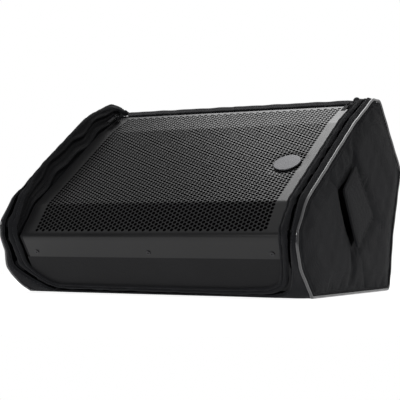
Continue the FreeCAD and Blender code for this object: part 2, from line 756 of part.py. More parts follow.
def power_rocker():
    """Rocker with two flat faces that meet over the pivot."""
    y = CONTROL_ROW
    outline = [(y - 9.6, 1.0), (y, 2.2), (y + 9.6, 4.8), (y + 8.6, -5.5), (y, -8.0), (y - 8.6, -5.5)]
    wire = Part.makePolygon([Vec(ROCKER_X - 7.8, a, b) for a, b in outline + outline[:1]])
    return on_back(Part.Face(wire).extrude(Vec(15.6, 0, 0)))


def mains_inlet():
    """Round locking mains inlet with its three keyed slots."""
    x, y = INLET_X, CONTROL_ROW
    flange = box(x - 15.5, x + 15.5, y - 15.5, y + 15.5, 0, 2.0)
    flange = flange.makeFillet(4.0, [e for e in flange.Edges if e.BoundBox.ZLength > 1.9
                                     and e.BoundBox.XLength < 1e-3])
    inlet = flange.fuse(Part.makeCylinder(12.0, 28.0, Vec(x, y, -28)))
    inlet = inlet.cut(ring(5.5, 9.8, -22, 5).translated(Vec(x, y, 0)))
    for i in range(3):
        slot = box(x - 0.8, x + 0.8, y + 1.6, y + 4.6, -12, 5)
        slot.rotate(Vec(x, y, 0), Vec(0, 0, 1), 120 * i)
        inlet = inlet.cut(slot)
    return on_back(inlet)


def speaker_lead():
    """Flat-twin lead from the board to the driver, in straight runs joined by arcs."""
    y0, z0 = back_point(92.0, -44.2)
    y1, z1 = back_point(92.0, -84.0)
    y2, z2 = slope_point(WOOFER_UP_SLOPE + 84.0, -BAFFLE_DEPTH - 73.0)
    y3, z3 = slope_point(WOOFER_UP_SLOPE + 56.0, -BAFFLE_DEPTH - 73.0)
    run = [Vec(118, y0, z0), Vec(118, y1, z1), Vec(84, y2, z2), Vec(58.2, y3, z3)]
    return swept_tube(run, 2.6)


def swept_tube(points, radius):
    """Round tube along straight runs joined by tangent arcs."""
    edges = []
    start = points[0]
    for before, corner, after in zip(points, points[1:], points[2:]):
        a = (before - corner).normalize()
        b = (after - corner).normalize()
        half = a.getAngle(b) / 2
        reach = 0.45 * min((before - corner).Length, (after - corner).Length)
        arc_radius = reach * math.tan(half)
        middle_dir = (a + b).normalize()
        centre = corner + middle_dir * (arc_radius / math.sin(half))
        p, q = corner + a * reach, corner + b * reach
        m = centre - middle_dir * arc_radius
        edges.append(Part.LineSegment(start, p).toShape())
        edges.append(Part.Arc(p, m, q).toShape())
        start = q
    edges.append(Part.LineSegment(start, points[-1]).toShape())
    wire = Part.Wire(edges)
    circle = Part.Wire([Part.Circle(points[0], points[1] - points[0], radius).toShape()])
    return wire.makePipeShell([circle], True, True)


# ---- transport cover ---------------------------------------------------------------------
COVER_FRONT = [COVER_FRONT_FOOT, COVER_NOSE, COVER_LOWER_CREASE, COVER_UPPER_CREASE,
               COVER_TOP_FRONT]
COVER_LIP_UP = unit(COVER_FRONT_FOOT, COVER_NOSE)
LIP_TOP = shift(COVER_FRONT_FOOT, COVER_LIP_UP, LIP_HEIGHT)
BINDING_TOP = shift(LIP_TOP, COVER_LIP_UP, BINDING_HEIGHT)
ZIP_LINE = [shift(BINDING_TOP, COVER_LIP_UP, 0.3)] + COVER_FRONT[1:]


def flap_point(point, x):
    return Vec(x, point[0], point[1])


def handle_opening():
    """Diamond opening in the side pad, under the handle flap."""
    centre = Vec(0, sum(p[0] for p in flap_corners()) / 4, sum(p[1] for p in flap_corners()) / 4)
    shrink = 0.74
    ring_points = [centre + (flap_point(p, 0) - centre) * shrink for p in flap_corners()]
    return prism([(p.y, p.z) for p in ring_points], 200, 300)


def flap_corners():
    return [FLAP_TOP, FLAP_FRONT, FLAP_BOTTOM, FLAP_BACK]


def cover_side():
    """Padded side panel with rounded corners."""
    wire = rounded_loop(SIDE_OUTLINE, SIDE_ROUNDING, COVER_HALF_WIDTH - SIDE_PAD)
    pad = Part.Face(wire).extrude(Vec(SIDE_PAD, 0, 0))
    return pad.cut(handle_opening())


def cover_band():
    """Front margin of the cover between the side pad and the zip tape."""
    return rounded_strip(COVER_FRONT, -1.0, -7.0, 17.0, BAND_INNER_X, COVER_HALF_WIDTH - SIDE_PAD)


def zip_tape():
    """Half of the opening's zip: tape along one side with its row of teeth on the free edge."""
    tape = rounded_strip(ZIP_LINE, -2.2, -3.8, 16.0, ZIP_INNER_X, BAND_INNER_X)
    teeth = rounded_strip(ZIP_LINE, -1.6, -4.4, 16.6, ZIP_INNER_X - 2.4, ZIP_INNER_X)
    return tape.fuse(teeth)


def rounded_strip(line, near, far, nose_radius, x0, x1):
    """Strip between two offsets of a front line, rounded round the nose."""
    strip = prism(strip_profile(line, near, far), x0, x1)
    strip = round_x_edges(strip, nose_radius, [offset_path(line, near)[1]])
    return round_x_edges(strip, nose_radius + far - near, [offset_path(line, far)[1]])


def cover_floor():
    """Bottom of the cover, with the front lip turned up over the foot of the monitor."""
    back = COVER_BACK_FOOT[0] - 8.0
    lip = prism(strip_profile([LIP_TOP, COVER_FRONT_FOOT, (back, 0.0)], 0.0, FLOOR_THICK),
                -BAND_INNER_X, BAND_INNER_X)
    half = COVER_HALF_WIDTH - SIDE_PAD
    floor = box(-half, half, COVER_FRONT_FOOT[0] + 6.6, back, 0.0, FLOOR_THICK)
    return lip.fuse(floor).removeSplitter()


def lip_binding():
    """Bound edge and zip tape along the top of the front lip."""
    return prism(strip_profile([LIP_TOP, BINDING_TOP], 0.6, -3.6),
                 -BAND_INNER_X + 0.2, BAND_INNER_X - 0.2)


COVER_BACK = offset_path(LID_LINE, -LID_THICK - LID_GAP) + [COVER_BACK_FOOT]


def rounded_window(margin, radius):
    """Tall block through the back wall with the outline of the connector window."""
    block = box(margin - WINDOW_HALF_WIDTH, WINDOW_HALF_WIDTH - margin, WINDOW_LOW + margin,
                WINDOW_HIGH - margin, -30, 60)
    upright = [e for e in block.Edges if e.BoundBox.ZLength > 80 and e.BoundBox.XLength < 1e-3]
    return on_back(block.makeFillet(radius, upright))


def cover_back():
    """Back wall and top strip of the cover, with a window over the connectors."""
    half = COVER_HALF_WIDTH - SIDE_PAD
    outline = strip_profile(COVER_BACK, 0.0, -COVER_WALL)
    inner_foot = len(COVER_BACK)
    outline[inner_foot] = cross_lines(outline[inner_foot], unit(*COVER_BACK[-2:]), (0.0, 0.0),
                                      (1.0, 0.0))
    wall = prism(outline, -half, half)
    floor_room = box(-half - 1, half + 1, 300, COVER_BACK_FOOT[0] - 8.0, -1, FLOOR_THICK)
    band_room = box(-half - 1, half + 1, 300, COVER_TOP_FRONT[0] + 4.0, 300, 400)
    return wall.cut(floor_room).cut(band_room).cut(rounded_window(0.0, 10.0))


def window_binding():
    """Bound edge round the connector window, just inside the opening."""
    rim = rounded_window(0.0, 10.0).cut(rounded_window(4.0, 7.0))
    half = COVER_HALF_WIDTH - SIDE_PAD
    slab = prism(strip_profile(COVER_BACK[-2:], 0.8, -COVER_WALL), -half, half)
    return slab.common(rim)


def cover_lid():
    """Front lid thrown back over the top and the back, folded double."""
    outline = strip_profile(LID_LINE, 0.0, -LID_THICK)
    lid = prism(outline, -LID_HALF_WIDTH, LID_HALF_WIDTH)
    return round_x_edges(lid, 2.5, [outline[0], outline[3], outline[4]])


def rounded_loop(corners, radii, x):
    """Closed wire through (depth, height) corners at x, each corner an arc of its radius."""
    count = len(corners)
    arcs, starts, ends = [], [], []
    for i, corner in enumerate(corners):
        a, b = unit(corner, corners[i - 1]), unit(corner, corners[(i + 1) % count])
        half = math.acos(a[0] * b[0] + a[1] * b[1]) / 2
        reach = radii[i] / math.tan(half)
        bisector = unit((0.0, 0.0), (a[0] + b[0], a[1] + b[1]))
        middle = shift(corner, bisector, radii[i] / math.sin(half) - radii[i])
        starts.append(shift(corner, a, reach))
        ends.append(shift(corner, b, reach))
        arcs.append(Part.Arc(Vec(x, *starts[-1]), Vec(x, *middle), Vec(x, *ends[-1])).toShape())
    edges = []
    for i in range(count):
        edges.append(arcs[i])
        following = starts[(i + 1) % count]
        edges.append(Part.LineSegment(Vec(x, *ends[i]), Vec(x, *following)).toShape())
    return Part.Wire(edges)


def piping():
    """Round piping sewn into the outer edge of the side panel."""
    closed = [SIDE_OUTLINE[-1]] + SIDE_OUTLINE + SIDE_OUTLINE[:1]
    inset = offset_path(closed, -PIPING_RADIUS)[1:-1]
    wire = rounded_loop(inset, SIDE_ROUNDING, COVER_HALF_WIDTH)
    first = wire.OrderedEdges[0]
    start = first.valueAt(first.FirstParameter)
    tangent = first.tangentAt(first.FirstParameter)
    circle = Part.Wire([Part.Circle(start, tangent, PIPING_RADIUS).toShape()])
    return wire.makePipeShell([circle], True, True)


def handle_flap():
    """Padded diamond flap, sewn along its upper back edge and standing a little open."""
    corners = [flap_point(p, 0) for p in flap_corners()]
    wire = Part.makePolygon(corners + corners[:1])
    flap = Part.Face(wire).extrude(Vec(FLAP_THICK, 0, 0))
    flap = flap.makeFillet(5.0, [e for e in flap.Edges if abs(e.BoundBox.XLength - FLAP_THICK) < 1e-3
                                 and e.BoundBox.ZLength < 1e-3])
    flap.translate(Vec(COVER_HALF_WIDTH + 0.4, 0, 0))
    hinge = flap_point(FLAP_TOP, COVER_HALF_WIDTH + 0.4)
    axis = flap_point(FLAP_BACK, 0) - flap_point(FLAP_TOP, 0)
    flap.rotate(hinge, axis, -FLAP_TILT)
    return flap


# ---- zip sliders and their pulls ---------------------------------------------------------
TOP_FACET = unit(COVER_UPPER_CREASE, COVER_TOP_FRONT)
TOP_OUT = (-TOP_FACET[1], TOP_FACET[0])
SLIDER_X = ZIP_INNER_X - 1.0
SLIDER_UP = 52.0


def slider_point(along, out):
    return shift(shift(COVER_UPPER_CREASE, TOP_FACET, SLIDER_UP + along), TOP_OUT, out)


def slider_box(x0, x1, along0, along1, out0, out1):
    points = [slider_point(along0, out0), slider_point(along1, out0), slider_point(along1, out1),
              slider_point(along0, out1)]
    return prism(points, x0, x1)


def zip_slider():
    """Slider body that closes round the teeth, with the bridge that carries the pull."""
    x = SLIDER_X
    body = slider_box(x - 5, x + 5, 0, 12, -6.2, 0.0)
    channel = slider_box(x - 2.2, x + 6, -1, 13, -4.9, -1.2)
    bridge = slider_box(x - 1.2, x + 1.2, 2, 10, 0.0, 4.0)
    eye = slider_box(x - 3, x + 3, 4, 8, 0.3, 2.8)
    return body.cut(channel).fuse(bridge).cut(eye).removeSplitter()


def zip_pull():
    """Pull tab whose eye is threaded under the bridge of the slider."""
    x = SLIDER_X
    tab = slider_box(x - 4, x + 4, -24, -1, 0.8, 2.2)
    arms = [slider_box(x + side - 1, x + side + 1, -1, 7, 0.8, 2.2) for side in (-3, 3)]
    bar = slider_box(x - 4, x + 4, 5.4, 6.6, 0.9, 2.1)
    return tab.fuse(arms).fuse(bar).removeSplitter()


# ---- write every piece -------------------------------------------------------------------
def woofer_nodes():
    return {
        "woofer_basket": Part.makeCompound([woofer_basket(), woofer_spider_ring()]),
        "woofer_gasket": woofer_gasket(),
        "woofer_surround": woofer_surround(),
        "woofer_cone": woofer_cone(),
        "woofer_spider": woofer_spider(),
        "woofer_voice_coil": voice_coil(),
        "woofer_top_plate": woofer_top_plate(),
        "woofer_magnet": woofer_magnet(),
        "woofer_yoke": woofer_yoke(),
        "woofer_screws": woofer_screws(),
        "horn": horn(),
        "hf_magnet": Part.makeCompound([hf_magnet(), hf_clamp_ring()]),
        "hf_suspension": hf_suspension(),
        "hf_diaphragm": hf_diaphragm(),
        "hf_cover": hf_cover(),
    }


def paired_nodes():
    """Pieces made as a mirrored pair, both in one node."""
    return {
        "cabinet_sides": cabinet_side(),
        "handle_cups": handle_cup(),
        "cover_sides": cover_side(),
        "cover_bands": cover_band(),
        "zip_tapes": zip_tape(),
        "zip_sliders": zip_slider(),
        "side_piping": piping(),
    }


def moving_pairs():
    """Mirrored pieces that move on their own, each side in its own node."""
    return {"zip_pull": zip_pull(), "handle_flap": handle_flap()}


def single_nodes():
    return {
        "cabinet_front": cabinet_front(),
        "cabinet_bottom": cabinet_bottom(),
        "cabinet_baffle": cabinet_baffle(),
        "cabinet_back_upper": cabinet_back_upper(),
        "cabinet_back_lower": cabinet_back_lower(),
        "cabinet_battens": cabinet_battens(),
        "port_tubes": port_tubes(),
        "damping_foam": damping_foam(),
        "rubber_feet": rubber_feet(),
        "grille": grille(),
        "grille_foam": grille_foam(),
        "grille_screws": grille_screws(),
        "grille_badge": grille_badge(),
        "amp_panel": amp_panel(),
        "panel_screws": Part.makeCompound([amp_screws(), handle_screws()]),
        "amp_heatsink": amp_heatsink(),
        "amp_circuit_board": circuit_board(),
        "amp_board_components": Part.makeCompound([board_components(), board_spacers()]),
        "amp_transformer": power_transformer(),
        "input_socket": on_back(xlr_socket(XLR_IN_X, False)),
        "link_socket": on_back(xlr_socket(XLR_LINK_X, True)),
        "input_latch": xlr_latch(),
        "level_knob": level_knob(),
        "preset_button": preset_button(),
        "control_bodies": Part.makeCompound([level_control_body(), preset_switch_body()]),
        "status_light": status_light(),
        "power_rocker_frame": rocker_frame(),
        "power_rocker": power_rocker(),
        "mains_inlet": mains_inlet(),
        "speaker_lead": speaker_lead(),
        "cover_floor": cover_floor(),
        "cover_back": cover_back(),
        "cover_bindings": Part.makeCompound([lip_binding(), window_binding()]),
        "cover_lid": cover_lid(),
    }


for name, shape in single_nodes().items():
    save(name, shape)
for name, shape in woofer_nodes().items():
    save(name, at_woofer(shape))
for name, shape in paired_nodes().items():
    save(name, both_sides(shape))
for name, shape in moving_pairs().items():
    save(name + "_right", shape)
    save(name + "_left", mirrored(shape))
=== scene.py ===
import math

import bmesh
import bpy
import numpy as np
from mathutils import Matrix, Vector
from mathutils.geometry import delaunay_2d_cdt
from mathutils.kdtree import KDTree


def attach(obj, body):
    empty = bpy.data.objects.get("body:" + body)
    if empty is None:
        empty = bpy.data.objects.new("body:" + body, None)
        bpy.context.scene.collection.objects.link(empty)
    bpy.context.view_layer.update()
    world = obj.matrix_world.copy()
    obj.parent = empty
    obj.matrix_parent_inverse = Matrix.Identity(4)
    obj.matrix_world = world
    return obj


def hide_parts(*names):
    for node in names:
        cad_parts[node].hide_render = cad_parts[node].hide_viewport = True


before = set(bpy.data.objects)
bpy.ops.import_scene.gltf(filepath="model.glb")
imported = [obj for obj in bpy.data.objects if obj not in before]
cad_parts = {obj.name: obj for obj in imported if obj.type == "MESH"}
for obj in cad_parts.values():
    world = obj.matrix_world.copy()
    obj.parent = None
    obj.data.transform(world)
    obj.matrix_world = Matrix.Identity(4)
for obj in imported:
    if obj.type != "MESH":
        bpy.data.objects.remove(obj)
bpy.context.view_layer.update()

# Stage monitor wedge in its open-front padded cover. Metres, in the row frame: +X across, -Y front,
# +Z up. Profiles are (y, z) points. Along a profile, t is the length from its start and h the
# distance outwards from it.
MM = 0.001
HALF_DEPTH = 230.123


def side_view(*points):
    """Row-frame (y, z) points in metres from (depth behind the nose, height) in millimetres."""
    return [((y - HALF_DEPTH) * MM, z * MM) for y, z in points]


# ---- driving dimensions ----------------------------------------------------------------------
NOSE, LOWER_CREASE, UPPER_CREASE, GRILLE_TOP = side_view(
    (-0.8, 101.0), (43.7, 158.1), (254.1, 301.7), (322.0, 336.6))
FRONT_FOOT, BACK_FOOT, BACK_BEND = side_view((60.5, 12.0), (394.0, 12.0), (443.0, 222.0))
FLANGE_HEIGHT = 0.0445
GRILLE_HALF = 0.252
PERFORATED_HALF = 0.2315
SHEET_THICK = 0.0006
HOLE_RADIUS = 0.0034
HOLE_PITCH = 0.008
SCREW_PITCH, SCREW_UP = 0.233, 0.0105
BADGE_X, BADGE_UP, BADGE_RADIUS = 0.2017, 0.119, 0.0245
DISH_RADIUS, DISH_DEPTH = 0.040, 0.0009

COVER_CORNERS = side_view(
    (62.0, 0.0), (-14.2, 110.9), (37.2, 165.7), (249.0, 310.3), (334.0, 354.0), (364.0, 349.5),
    (470.0, 225.0), (433.0, 119.0), (411.0, 0.0))
COVER_FOOT, COVER_BACK_FOOT = COVER_CORNERS[0], COVER_CORNERS[-1]
SIDE_CORNERS = side_view(
    (68.0, 0.0), (18.0, 50.0), (2.0, 99.0), (40.0, 156.5), (240.0, 293.5), (331.0, 346.0),
    (364.0, 347.0), (470.0, 224.0), (428.0, 110.0), (406.0, 0.0))
LID_CORNERS = side_view((334.0, 347.5), (361.0, 343.5), (464.0, 224.0), (432.0, 119.0))
COVER_HALF = 0.284
SIDE_PAD = 0.011
OPENING_RIGHT, OPENING_NOSE, OPENING_LEFT = 0.250, 0.2545, -0.257
LIP_LINE = [(-0.257, 0.0165), (-0.1, 0.0145), (0.15, 0.0147), (0.207, 0.0178), (0.2295, 0.027),
            (0.2405, 0.056)]
PIPING_RADIUS = 0.0025
LID_HALF = 0.246
LID_DEPTH, LID_GAP = 0.0055, 0.0005
WINDOW_HALF, WINDOW_LOW, WINDOW_HIGH = 0.146, 0.027, 0.104
FLAP = side_view((233.0, 223.0), (168.0, 178.0), (224.0, 78.0), (316.0, 137.0))
FLAP_CENTRE = np.mean(FLAP, axis=0)
FLAP_HALF_THICK, FLAP_CLEAR, FLAP_LEAN = 0.0025, 0.0016, -4.0
GROOVE_LEFT, GROOVE_RIGHT, GROOVE_SIDE = 0.0135, 0.0168, 0.0034
HEM_DEPTH = 0.0042
HEM_ROLLS = ((0.0026, 0.0026, 0.0031), (0.0092, 0.0038, 0.0027))
GAP_DEPTH, GAP_HALF = 0.0100, 0.0019
CLOTH_VOXEL, CLOTH_GROW, CLOTH_PRESSURE, CLOTH_FRAMES = 0.005, 0.02, 4.0, 20
CAMERA_PLACE, CAMERA_YAW, CAMERA_PITCH, CAMERA_LENS = (1.1157, -2.0271, 0.1083), 29.221, 1.455, 113.04
SKY_FROM, SKY_EDGE, SKY_LIGHT = (0.1, 0.66, 0.74), (-0.1, 0.95), (0.06, 1.6)
FLOOR_RADIUS = 1.0


# ---- profiles --------------------------------------------------------------------------------
def rounded(corners, radii, step=0.0015):
    """Points of a line through corners, each inner corner turned into an arc of its radius."""
    corners = [Vector(c) for c in corners]
    points = [corners[0]]
    for before, corner, after, radius in zip(corners, corners[1:], corners[2:], radii):
        a = (before - corner).normalized()
        b = (after - corner).normalized()
        half = a.angle(b) / 2
        centre = corner + (a + b).normalized() * (radius / math.sin(half))
        u = corner + a * (radius / math.tan(half)) - centre
        v = corner + b * (radius / math.tan(half)) - centre
        sweep = u.angle(v)
        count = max(4, math.ceil(sweep * radius / step))
        for i in range(count + 1):
            share = i / count
            mixed = u * math.sin((1 - share) * sweep) + v * math.sin(share * sweep)
            points.append(centre + mixed / math.sin(sweep))
    points.append(corners[-1])
    return np.array([tuple(p) for p in points])


def normalised(vectors):
    return vectors / np.linalg.norm(vectors, axis=-1, keepdims=True)


def lengths_along(line):
    """Length from the start of a flat line to each of its points."""
    return np.concatenate([[0.0], np.cumsum(np.hypot(*np.diff(line, axis=0).T))])


def evenly(line, step, closed):
    """Points at even steps along a flat line, and their lengths along it."""
    marks = lengths_along(line)
    even = np.linspace(0, marks[-1], round(marks[-1] / step) + (not closed), endpoint=not closed)
    return np.stack([np.interp(even, marks, line[:, k]) for k in (0, 1)], -1), even


def in_space(x, flat):
    """3-D points from x and flat (y, z) points."""
    return np.concatenate([np.asarray(x)[..., None], flat], -1)


class Profile:
    """A bent line in the (y, z) plane, measured along its length."""

    def __init__(self, corners, radii):
        self.points = rounded(corners, radii)
        self.marks = lengths_along(self.points)
        self.length = self.marks[-1]

    def at(self, t):
        return np.stack([np.interp(t, self.marks, self.points[:, k]) for k in (0, 1)], -1)

    def out(self, t):
        t = np.asarray(t, float)
        reach = 0.0015
        along = self.at(np.minimum(t + reach, self.length)) - self.at(np.maximum(t - reach, 0.0))
        along = normalised(along)
        return np.stack([-along[..., 1], along[..., 0]], -1)

    def place(self, x, t, h):
        """3-D points at x across, t along and h out."""
        x, t, h = np.broadcast_arrays(np.asarray(x, float), t, h)
        return in_space(x, self.at(t) + self.out(t) * h[..., None])

    def where(self, point):
        """Length along the line to the place nearest to a (y, z) point."""
        fine = np.linspace(0, self.length, 4000)
        return fine[np.argmin(np.linalg.norm(self.at(fine) - np.array(point), axis=1))]


def unit(a, b):
    return (Vector(b) - Vector(a)).normalized()


FLANGE_BOTTOM = tuple(Vector(NOSE) - unit(FRONT_FOOT, NOSE) * FLANGE_HEIGHT)
GRILLE = Profile([FLANGE_BOTTOM, NOSE, LOWER_CREASE, UPPER_CREASE, GRILLE_TOP],
                 [0.012, 0.012, 0.012])
UNDER_MIDDLE = ((COVER_FOOT[0] + COVER_BACK_FOOT[0]) / 2, 0.0)
COVER = Profile([UNDER_MIDDLE] + COVER_CORNERS + [UNDER_MIDDLE],
                [0.008, 0.018, 0.05, 0.05, 0.018, 0.010, 0.012, 0.03, 0.018])
SIDE = Profile([UNDER_MIDDLE] + SIDE_CORNERS + [UNDER_MIDDLE],
               [0.008, 0.04, 0.035, 0.09, 0.06, 0.012, 0.008, 0.012, 0.01, 0.018])
BACK = Profile(LID_CORNERS + [COVER_BACK_FOOT, UNDER_MIDDLE], [0.003, 0.012, 0.01, 0.018])
T_FOOT, T_NOSE, T_LOWER, T_UPPER, T_TOP, _, T_BEND, _, T_BACK_FOOT = (
    COVER.where(c) for c in COVER_CORNERS)
BACK_END, BACK_FOOT_AT = BACK.where(LID_CORNERS[3]), BACK.where(COVER_BACK_FOOT)
WINDOW_FROM, WINDOW_TO = (BACK.where(Vector(BACK_FOOT) + unit(BACK_FOOT, BACK_BEND) * up)
                          for up in (WINDOW_HIGH, WINDOW_LOW))


def smooth(a, b, x):
    share = np.clip((np.asarray(x, float) - a) / (b - a), 0.0, 1.0)
    return share * share * (3 - 2 * share)


def ripple(x, lengths, phase=0.0):
    """Even mix of sine waves with the given wavelengths, between -1 and 1."""
    x = np.asarray(x, float)
    waves = [np.sin(2 * math.pi * x / length + phase * (i + 1) + 1.7 * i)
             for i, length in enumerate(lengths)]
    return sum(waves) / len(waves)


def crossings(start, way, line):
    """Reach of each ray to each stretch of a flat line, and the share along that stretch."""
    edge = np.diff(line, axis=0)
    det = way[..., 0] * edge[:, 1] - way[..., 1] * edge[:, 0]
    det = np.where(np.abs(det) < 1e-12, 1e-12, det)
    gap = line[:-1] - start
    reach = (gap[..., 0] * edge[:, 1] - gap[..., 1] * edge[:, 0]) / det
    return reach, (gap[..., 0] * way[..., 1] - gap[..., 1] * way[..., 0]) / det


def rise_to_side():
    """Lengths along the cover's profile, and the height of the side pads' outline above it."""
    t = np.linspace(0, COVER.length, 600)
    height, along = crossings(COVER.at(t)[:, None], COVER.out(t)[:, None], SIDE.points)
    height = np.where((along >= 0) & (along <= 1), height, 1.0)
    nearest = height[np.arange(len(t)), np.argmin(np.abs(height), axis=1)]
    nearest = np.where(np.abs(nearest) > 0.03, 0.0, nearest)
    spread = np.hanning(17)
    padded = np.concatenate([nearest[-8:], nearest, nearest[:8]])
    return t, np.convolve(padded, spread / spread.sum(), "valid")


RISE_AT, SIDE_RISE = rise_to_side()

# The slack left side of the cover bulges out and stands proud of the monitor.
SLACK_AT = [0.0, T_FOOT - 0.02] + [
    T_FOOT + up for up in (0.0, 0.007, 0.014, 0.023, 0.041, 0.061, 0.09)] + [
    T_NOSE, T_NOSE + 0.014, T_LOWER - 0.01, T_LOWER + 0.01, T_LOWER + 0.06, T_UPPER, T_TOP, T_BEND,
    T_BACK_FOOT, COVER.length]
SLACK_OUT = [0.002, -0.002, -0.010, -0.003, 0.005, 0.012, 0.017, 0.018, 0.013,
             0.007, 0.005, 0.004, 0.004, 0.004, 0.004, 0.004, 0.003, 0.003, 0.002]
SLACK_UP = [0.0] * 9 + [0.002, 0.010, 0.015, 0.010, 0.010, 0.013, 0.007, 0.001, 0.0, 0.0]


def soft(x, t, h):
    """3-D points on the cover: its gusset falls to the side pads, and the left side is slack."""
    x, t, h = np.broadcast_arrays(np.asarray(x, float), t, h)
    share = smooth(-0.238, -0.282, x)
    fall = np.interp(t, RISE_AT, SIDE_RISE)
    fall = np.where(x > 0, fall, np.maximum(fall, 0.0))
    lift = fall * smooth(0.262, COVER_HALF, np.abs(x)) + share * np.interp(t, SLACK_AT, SLACK_UP)
    return COVER.place(x - share * np.interp(t, SLACK_AT, SLACK_OUT), t, h + lift)


# ---- mesh helpers ----------------------------------------------------------------------------
def make(name, verts, faces, body="monitor", material=None, sharp=35.0):
    mesh = bpy.data.meshes.new(name)
    mesh.from_pydata([tuple(v) for v in verts], [], [tuple(f) for f in faces])
    mesh.validate()
    piece = bpy.data.objects.new(name, mesh)
    bpy.context.scene.collection.objects.link(piece)
    mesh.shade_smooth()
    mesh.set_sharp_from_angle(angle=math.radians(sharp))
    if material is not None:
        mesh.materials.append(material)
    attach(piece, body)
    return piece


def band(a, b, size):
    """Faces between two rings of vertices, which start at a and b."""
    return [(a + j, a + (j + 1) % size, b + (j + 1) % size, b + j) for j in range(size)]


def loft(rings, closed_path=False):
    """Verts and faces of a tube through rings of equal length, capped at its ends."""
    rings = np.asarray(rings)
    count, size = rings.shape[:2]
    faces = []
    for i in range(count if closed_path else count - 1):
        faces += band(i * size, (i + 1) % count * size, size)
    if not closed_path:
        faces.append(tuple(range(size))[::-1])
        faces.append(tuple((count - 1) * size + j for j in range(size)))
    return rings.reshape(-1, 3), faces


def merge(parts):
    """One list of verts and faces from several."""
    verts, faces, start = [], [], 0
    for v, f in parts:
        verts.append(np.asarray(v, float))
        faces += [tuple(start + i for i in face) for face in f]
        start += len(v)
    return np.concatenate(verts), faces


def tangents(path, closed):
    if closed:
        return normalised(np.roll(path, -1, axis=0) - np.roll(path, 1, axis=0))
    return normalised(np.gradient(path, axis=0))


def crosswise(path, closed):
    """Two vectors square to each point of a 3-D path, turning as little as possible."""
    along = tangents(path, closed)
    side = np.zeros_like(path)
    side[0] = normalised(np.cross(along[0], (0.31, 0.95, 0.05)))
    for i in range(1, len(path)):
        side[i] = normalised(side[i - 1] - along[i] * np.dot(side[i - 1], along[i]))
    return side, np.cross(along, side)


def tube(path, radius, sides=10, closed=False):
    side, up = crosswise(path, closed)
    angles = np.linspace(0, 2 * math.pi, sides, endpoint=False)
    ring = np.cos(angles)[None, :, None] * side[:, None] + np.sin(angles)[None, :, None] * up[:, None]
    radii = np.broadcast_to(radius, (len(path),))[:, None, None]
    return loft(path[:, None] + ring * radii, closed)


def bricks(centres, along, out, size):
    """Small boxes with chamfered tops: size is (length, width, height)."""
    across = np.cross(along, out)
    length, width, height = (s / 2 for s in size)
    corners = []
    for k, inset in ((-1.0, 1.0), (1.0, 0.7)):
        for i, j in ((-1, -1), (1, -1), (1, 1), (-1, 1)):
            corners.append(centres + along * (i * length * inset) + across * (j * width * inset)
                           + out * (k * height))
    verts = np.stack(corners, 1)
    block = [(3, 2, 1, 0), (4, 5, 6, 7), (0, 1, 5, 4), (1, 2, 6, 5), (2, 3, 7, 6), (3, 0, 4, 7)]
    faces = [tuple(8 * n + i for i in face) for n in range(len(verts)) for face in block]
    return verts.reshape(-1, 3), faces


def pattern(loops, inner):
    """Flat pattern as points, triangles and loops: a convex outline first, then holes."""
    points = np.concatenate([np.asarray(p, float) for p in loops + [inner] if len(p)])
    owner = np.full(len(points), -1)
    edges, start = [], 0
    for k, loop in enumerate(loops):
        count = len(loop)
        owner[start:start + count] = k
        edges += [(start + i, start + (i + 1) % count) for i in range(count)]
        start += count
    made, _, triangles, origin, _, _ = delaunay_2d_cdt(
        [Vector(p) for p in points], edges, [], 0, 1e-8)
    made = np.array([tuple(p) for p in made])
    given = np.array([o[0] for o in origin])
    triangles = np.array(triangles)
    kinds = owner[given[triangles]]
    hole = (kinds[:, 0] > 0) & (kinds[:, 0] == kinds[:, 1]) & (kinds[:, 0] == kinds[:, 2])
    new_index = np.empty(len(points), int)
    new_index[given] = np.arange(len(given))
    rims = np.split(new_index[:start], np.cumsum([len(p) for p in loops])[:-1])
    return made, triangles[~hole], rims


def panel(name, loops, inner, place, **more):
    """Closed thin piece cut from a flat pattern: place(points, layer) is outside at layer 1."""
    points, triangles, rims = pattern(loops, inner)
    count = len(points)
    verts = np.concatenate([place(points, 1), place(points, 0)])
    a, b, c = points[triangles[:, 0]], points[triangles[:, 1]], points[triangles[:, 2]]
    turn = np.cross(b - a, c - a) < 0
    triangles[turn] = triangles[turn][:, ::-1]
    faces = triangles.tolist() + (triangles[:, ::-1] + count).tolist()
    for rim in rims:
        following = np.roll(rim, -1)
        faces += np.stack([rim, rim + count, following + count, following], 1).tolist()
    piece = make(name, verts, faces, **more)
    recalculate(piece)
    return piece


def recalculate(piece):
    """Turns every face of a closed piece to look outwards."""
    mesh = bmesh.new()
    mesh.from_mesh(piece.data)
    bmesh.ops.recalc_face_normals(mesh, faces=mesh.faces)
    mesh.to_mesh(piece.data)
    mesh.free()


def grid_points(x0, x1, t0, t1, step):
    xs = np.linspace(x0, x1, max(2, round((x1 - x0) / step) + 1))
    ts = np.linspace(t0, t1, max(2, round((t1 - t0) / step) + 1))
    return np.stack(np.meshgrid(xs, ts), -1).reshape(-1, 2)


def rectangle(x0, x1, t0, t1, step):
    """Corners and evenly spaced points round a rectangle."""
    xs = np.linspace(x0, x1, round((x1 - x0) / step) + 1)[:-1]
    ts = np.linspace(t0, t1, round((t1 - t0) / step) + 1)[:-1]
    sides = ((xs, t0), (x1, ts), (x0 + x1 - xs, t1), (x0, t0 + t1 - ts))
    return np.concatenate([np.stack(np.broadcast_arrays(x, t), -1) for x, t in sides])


def rounded_rectangle(x0, x1, t0, t1, radius, step):
    middle = ((x0 + x1) / 2, t0)
    corners = [middle, (x1, t0), (x1, t1), (x0, t1), (x0, t0), middle]
    return evenly(rounded(corners, [radius] * 4, step), step, closed=True)[0]


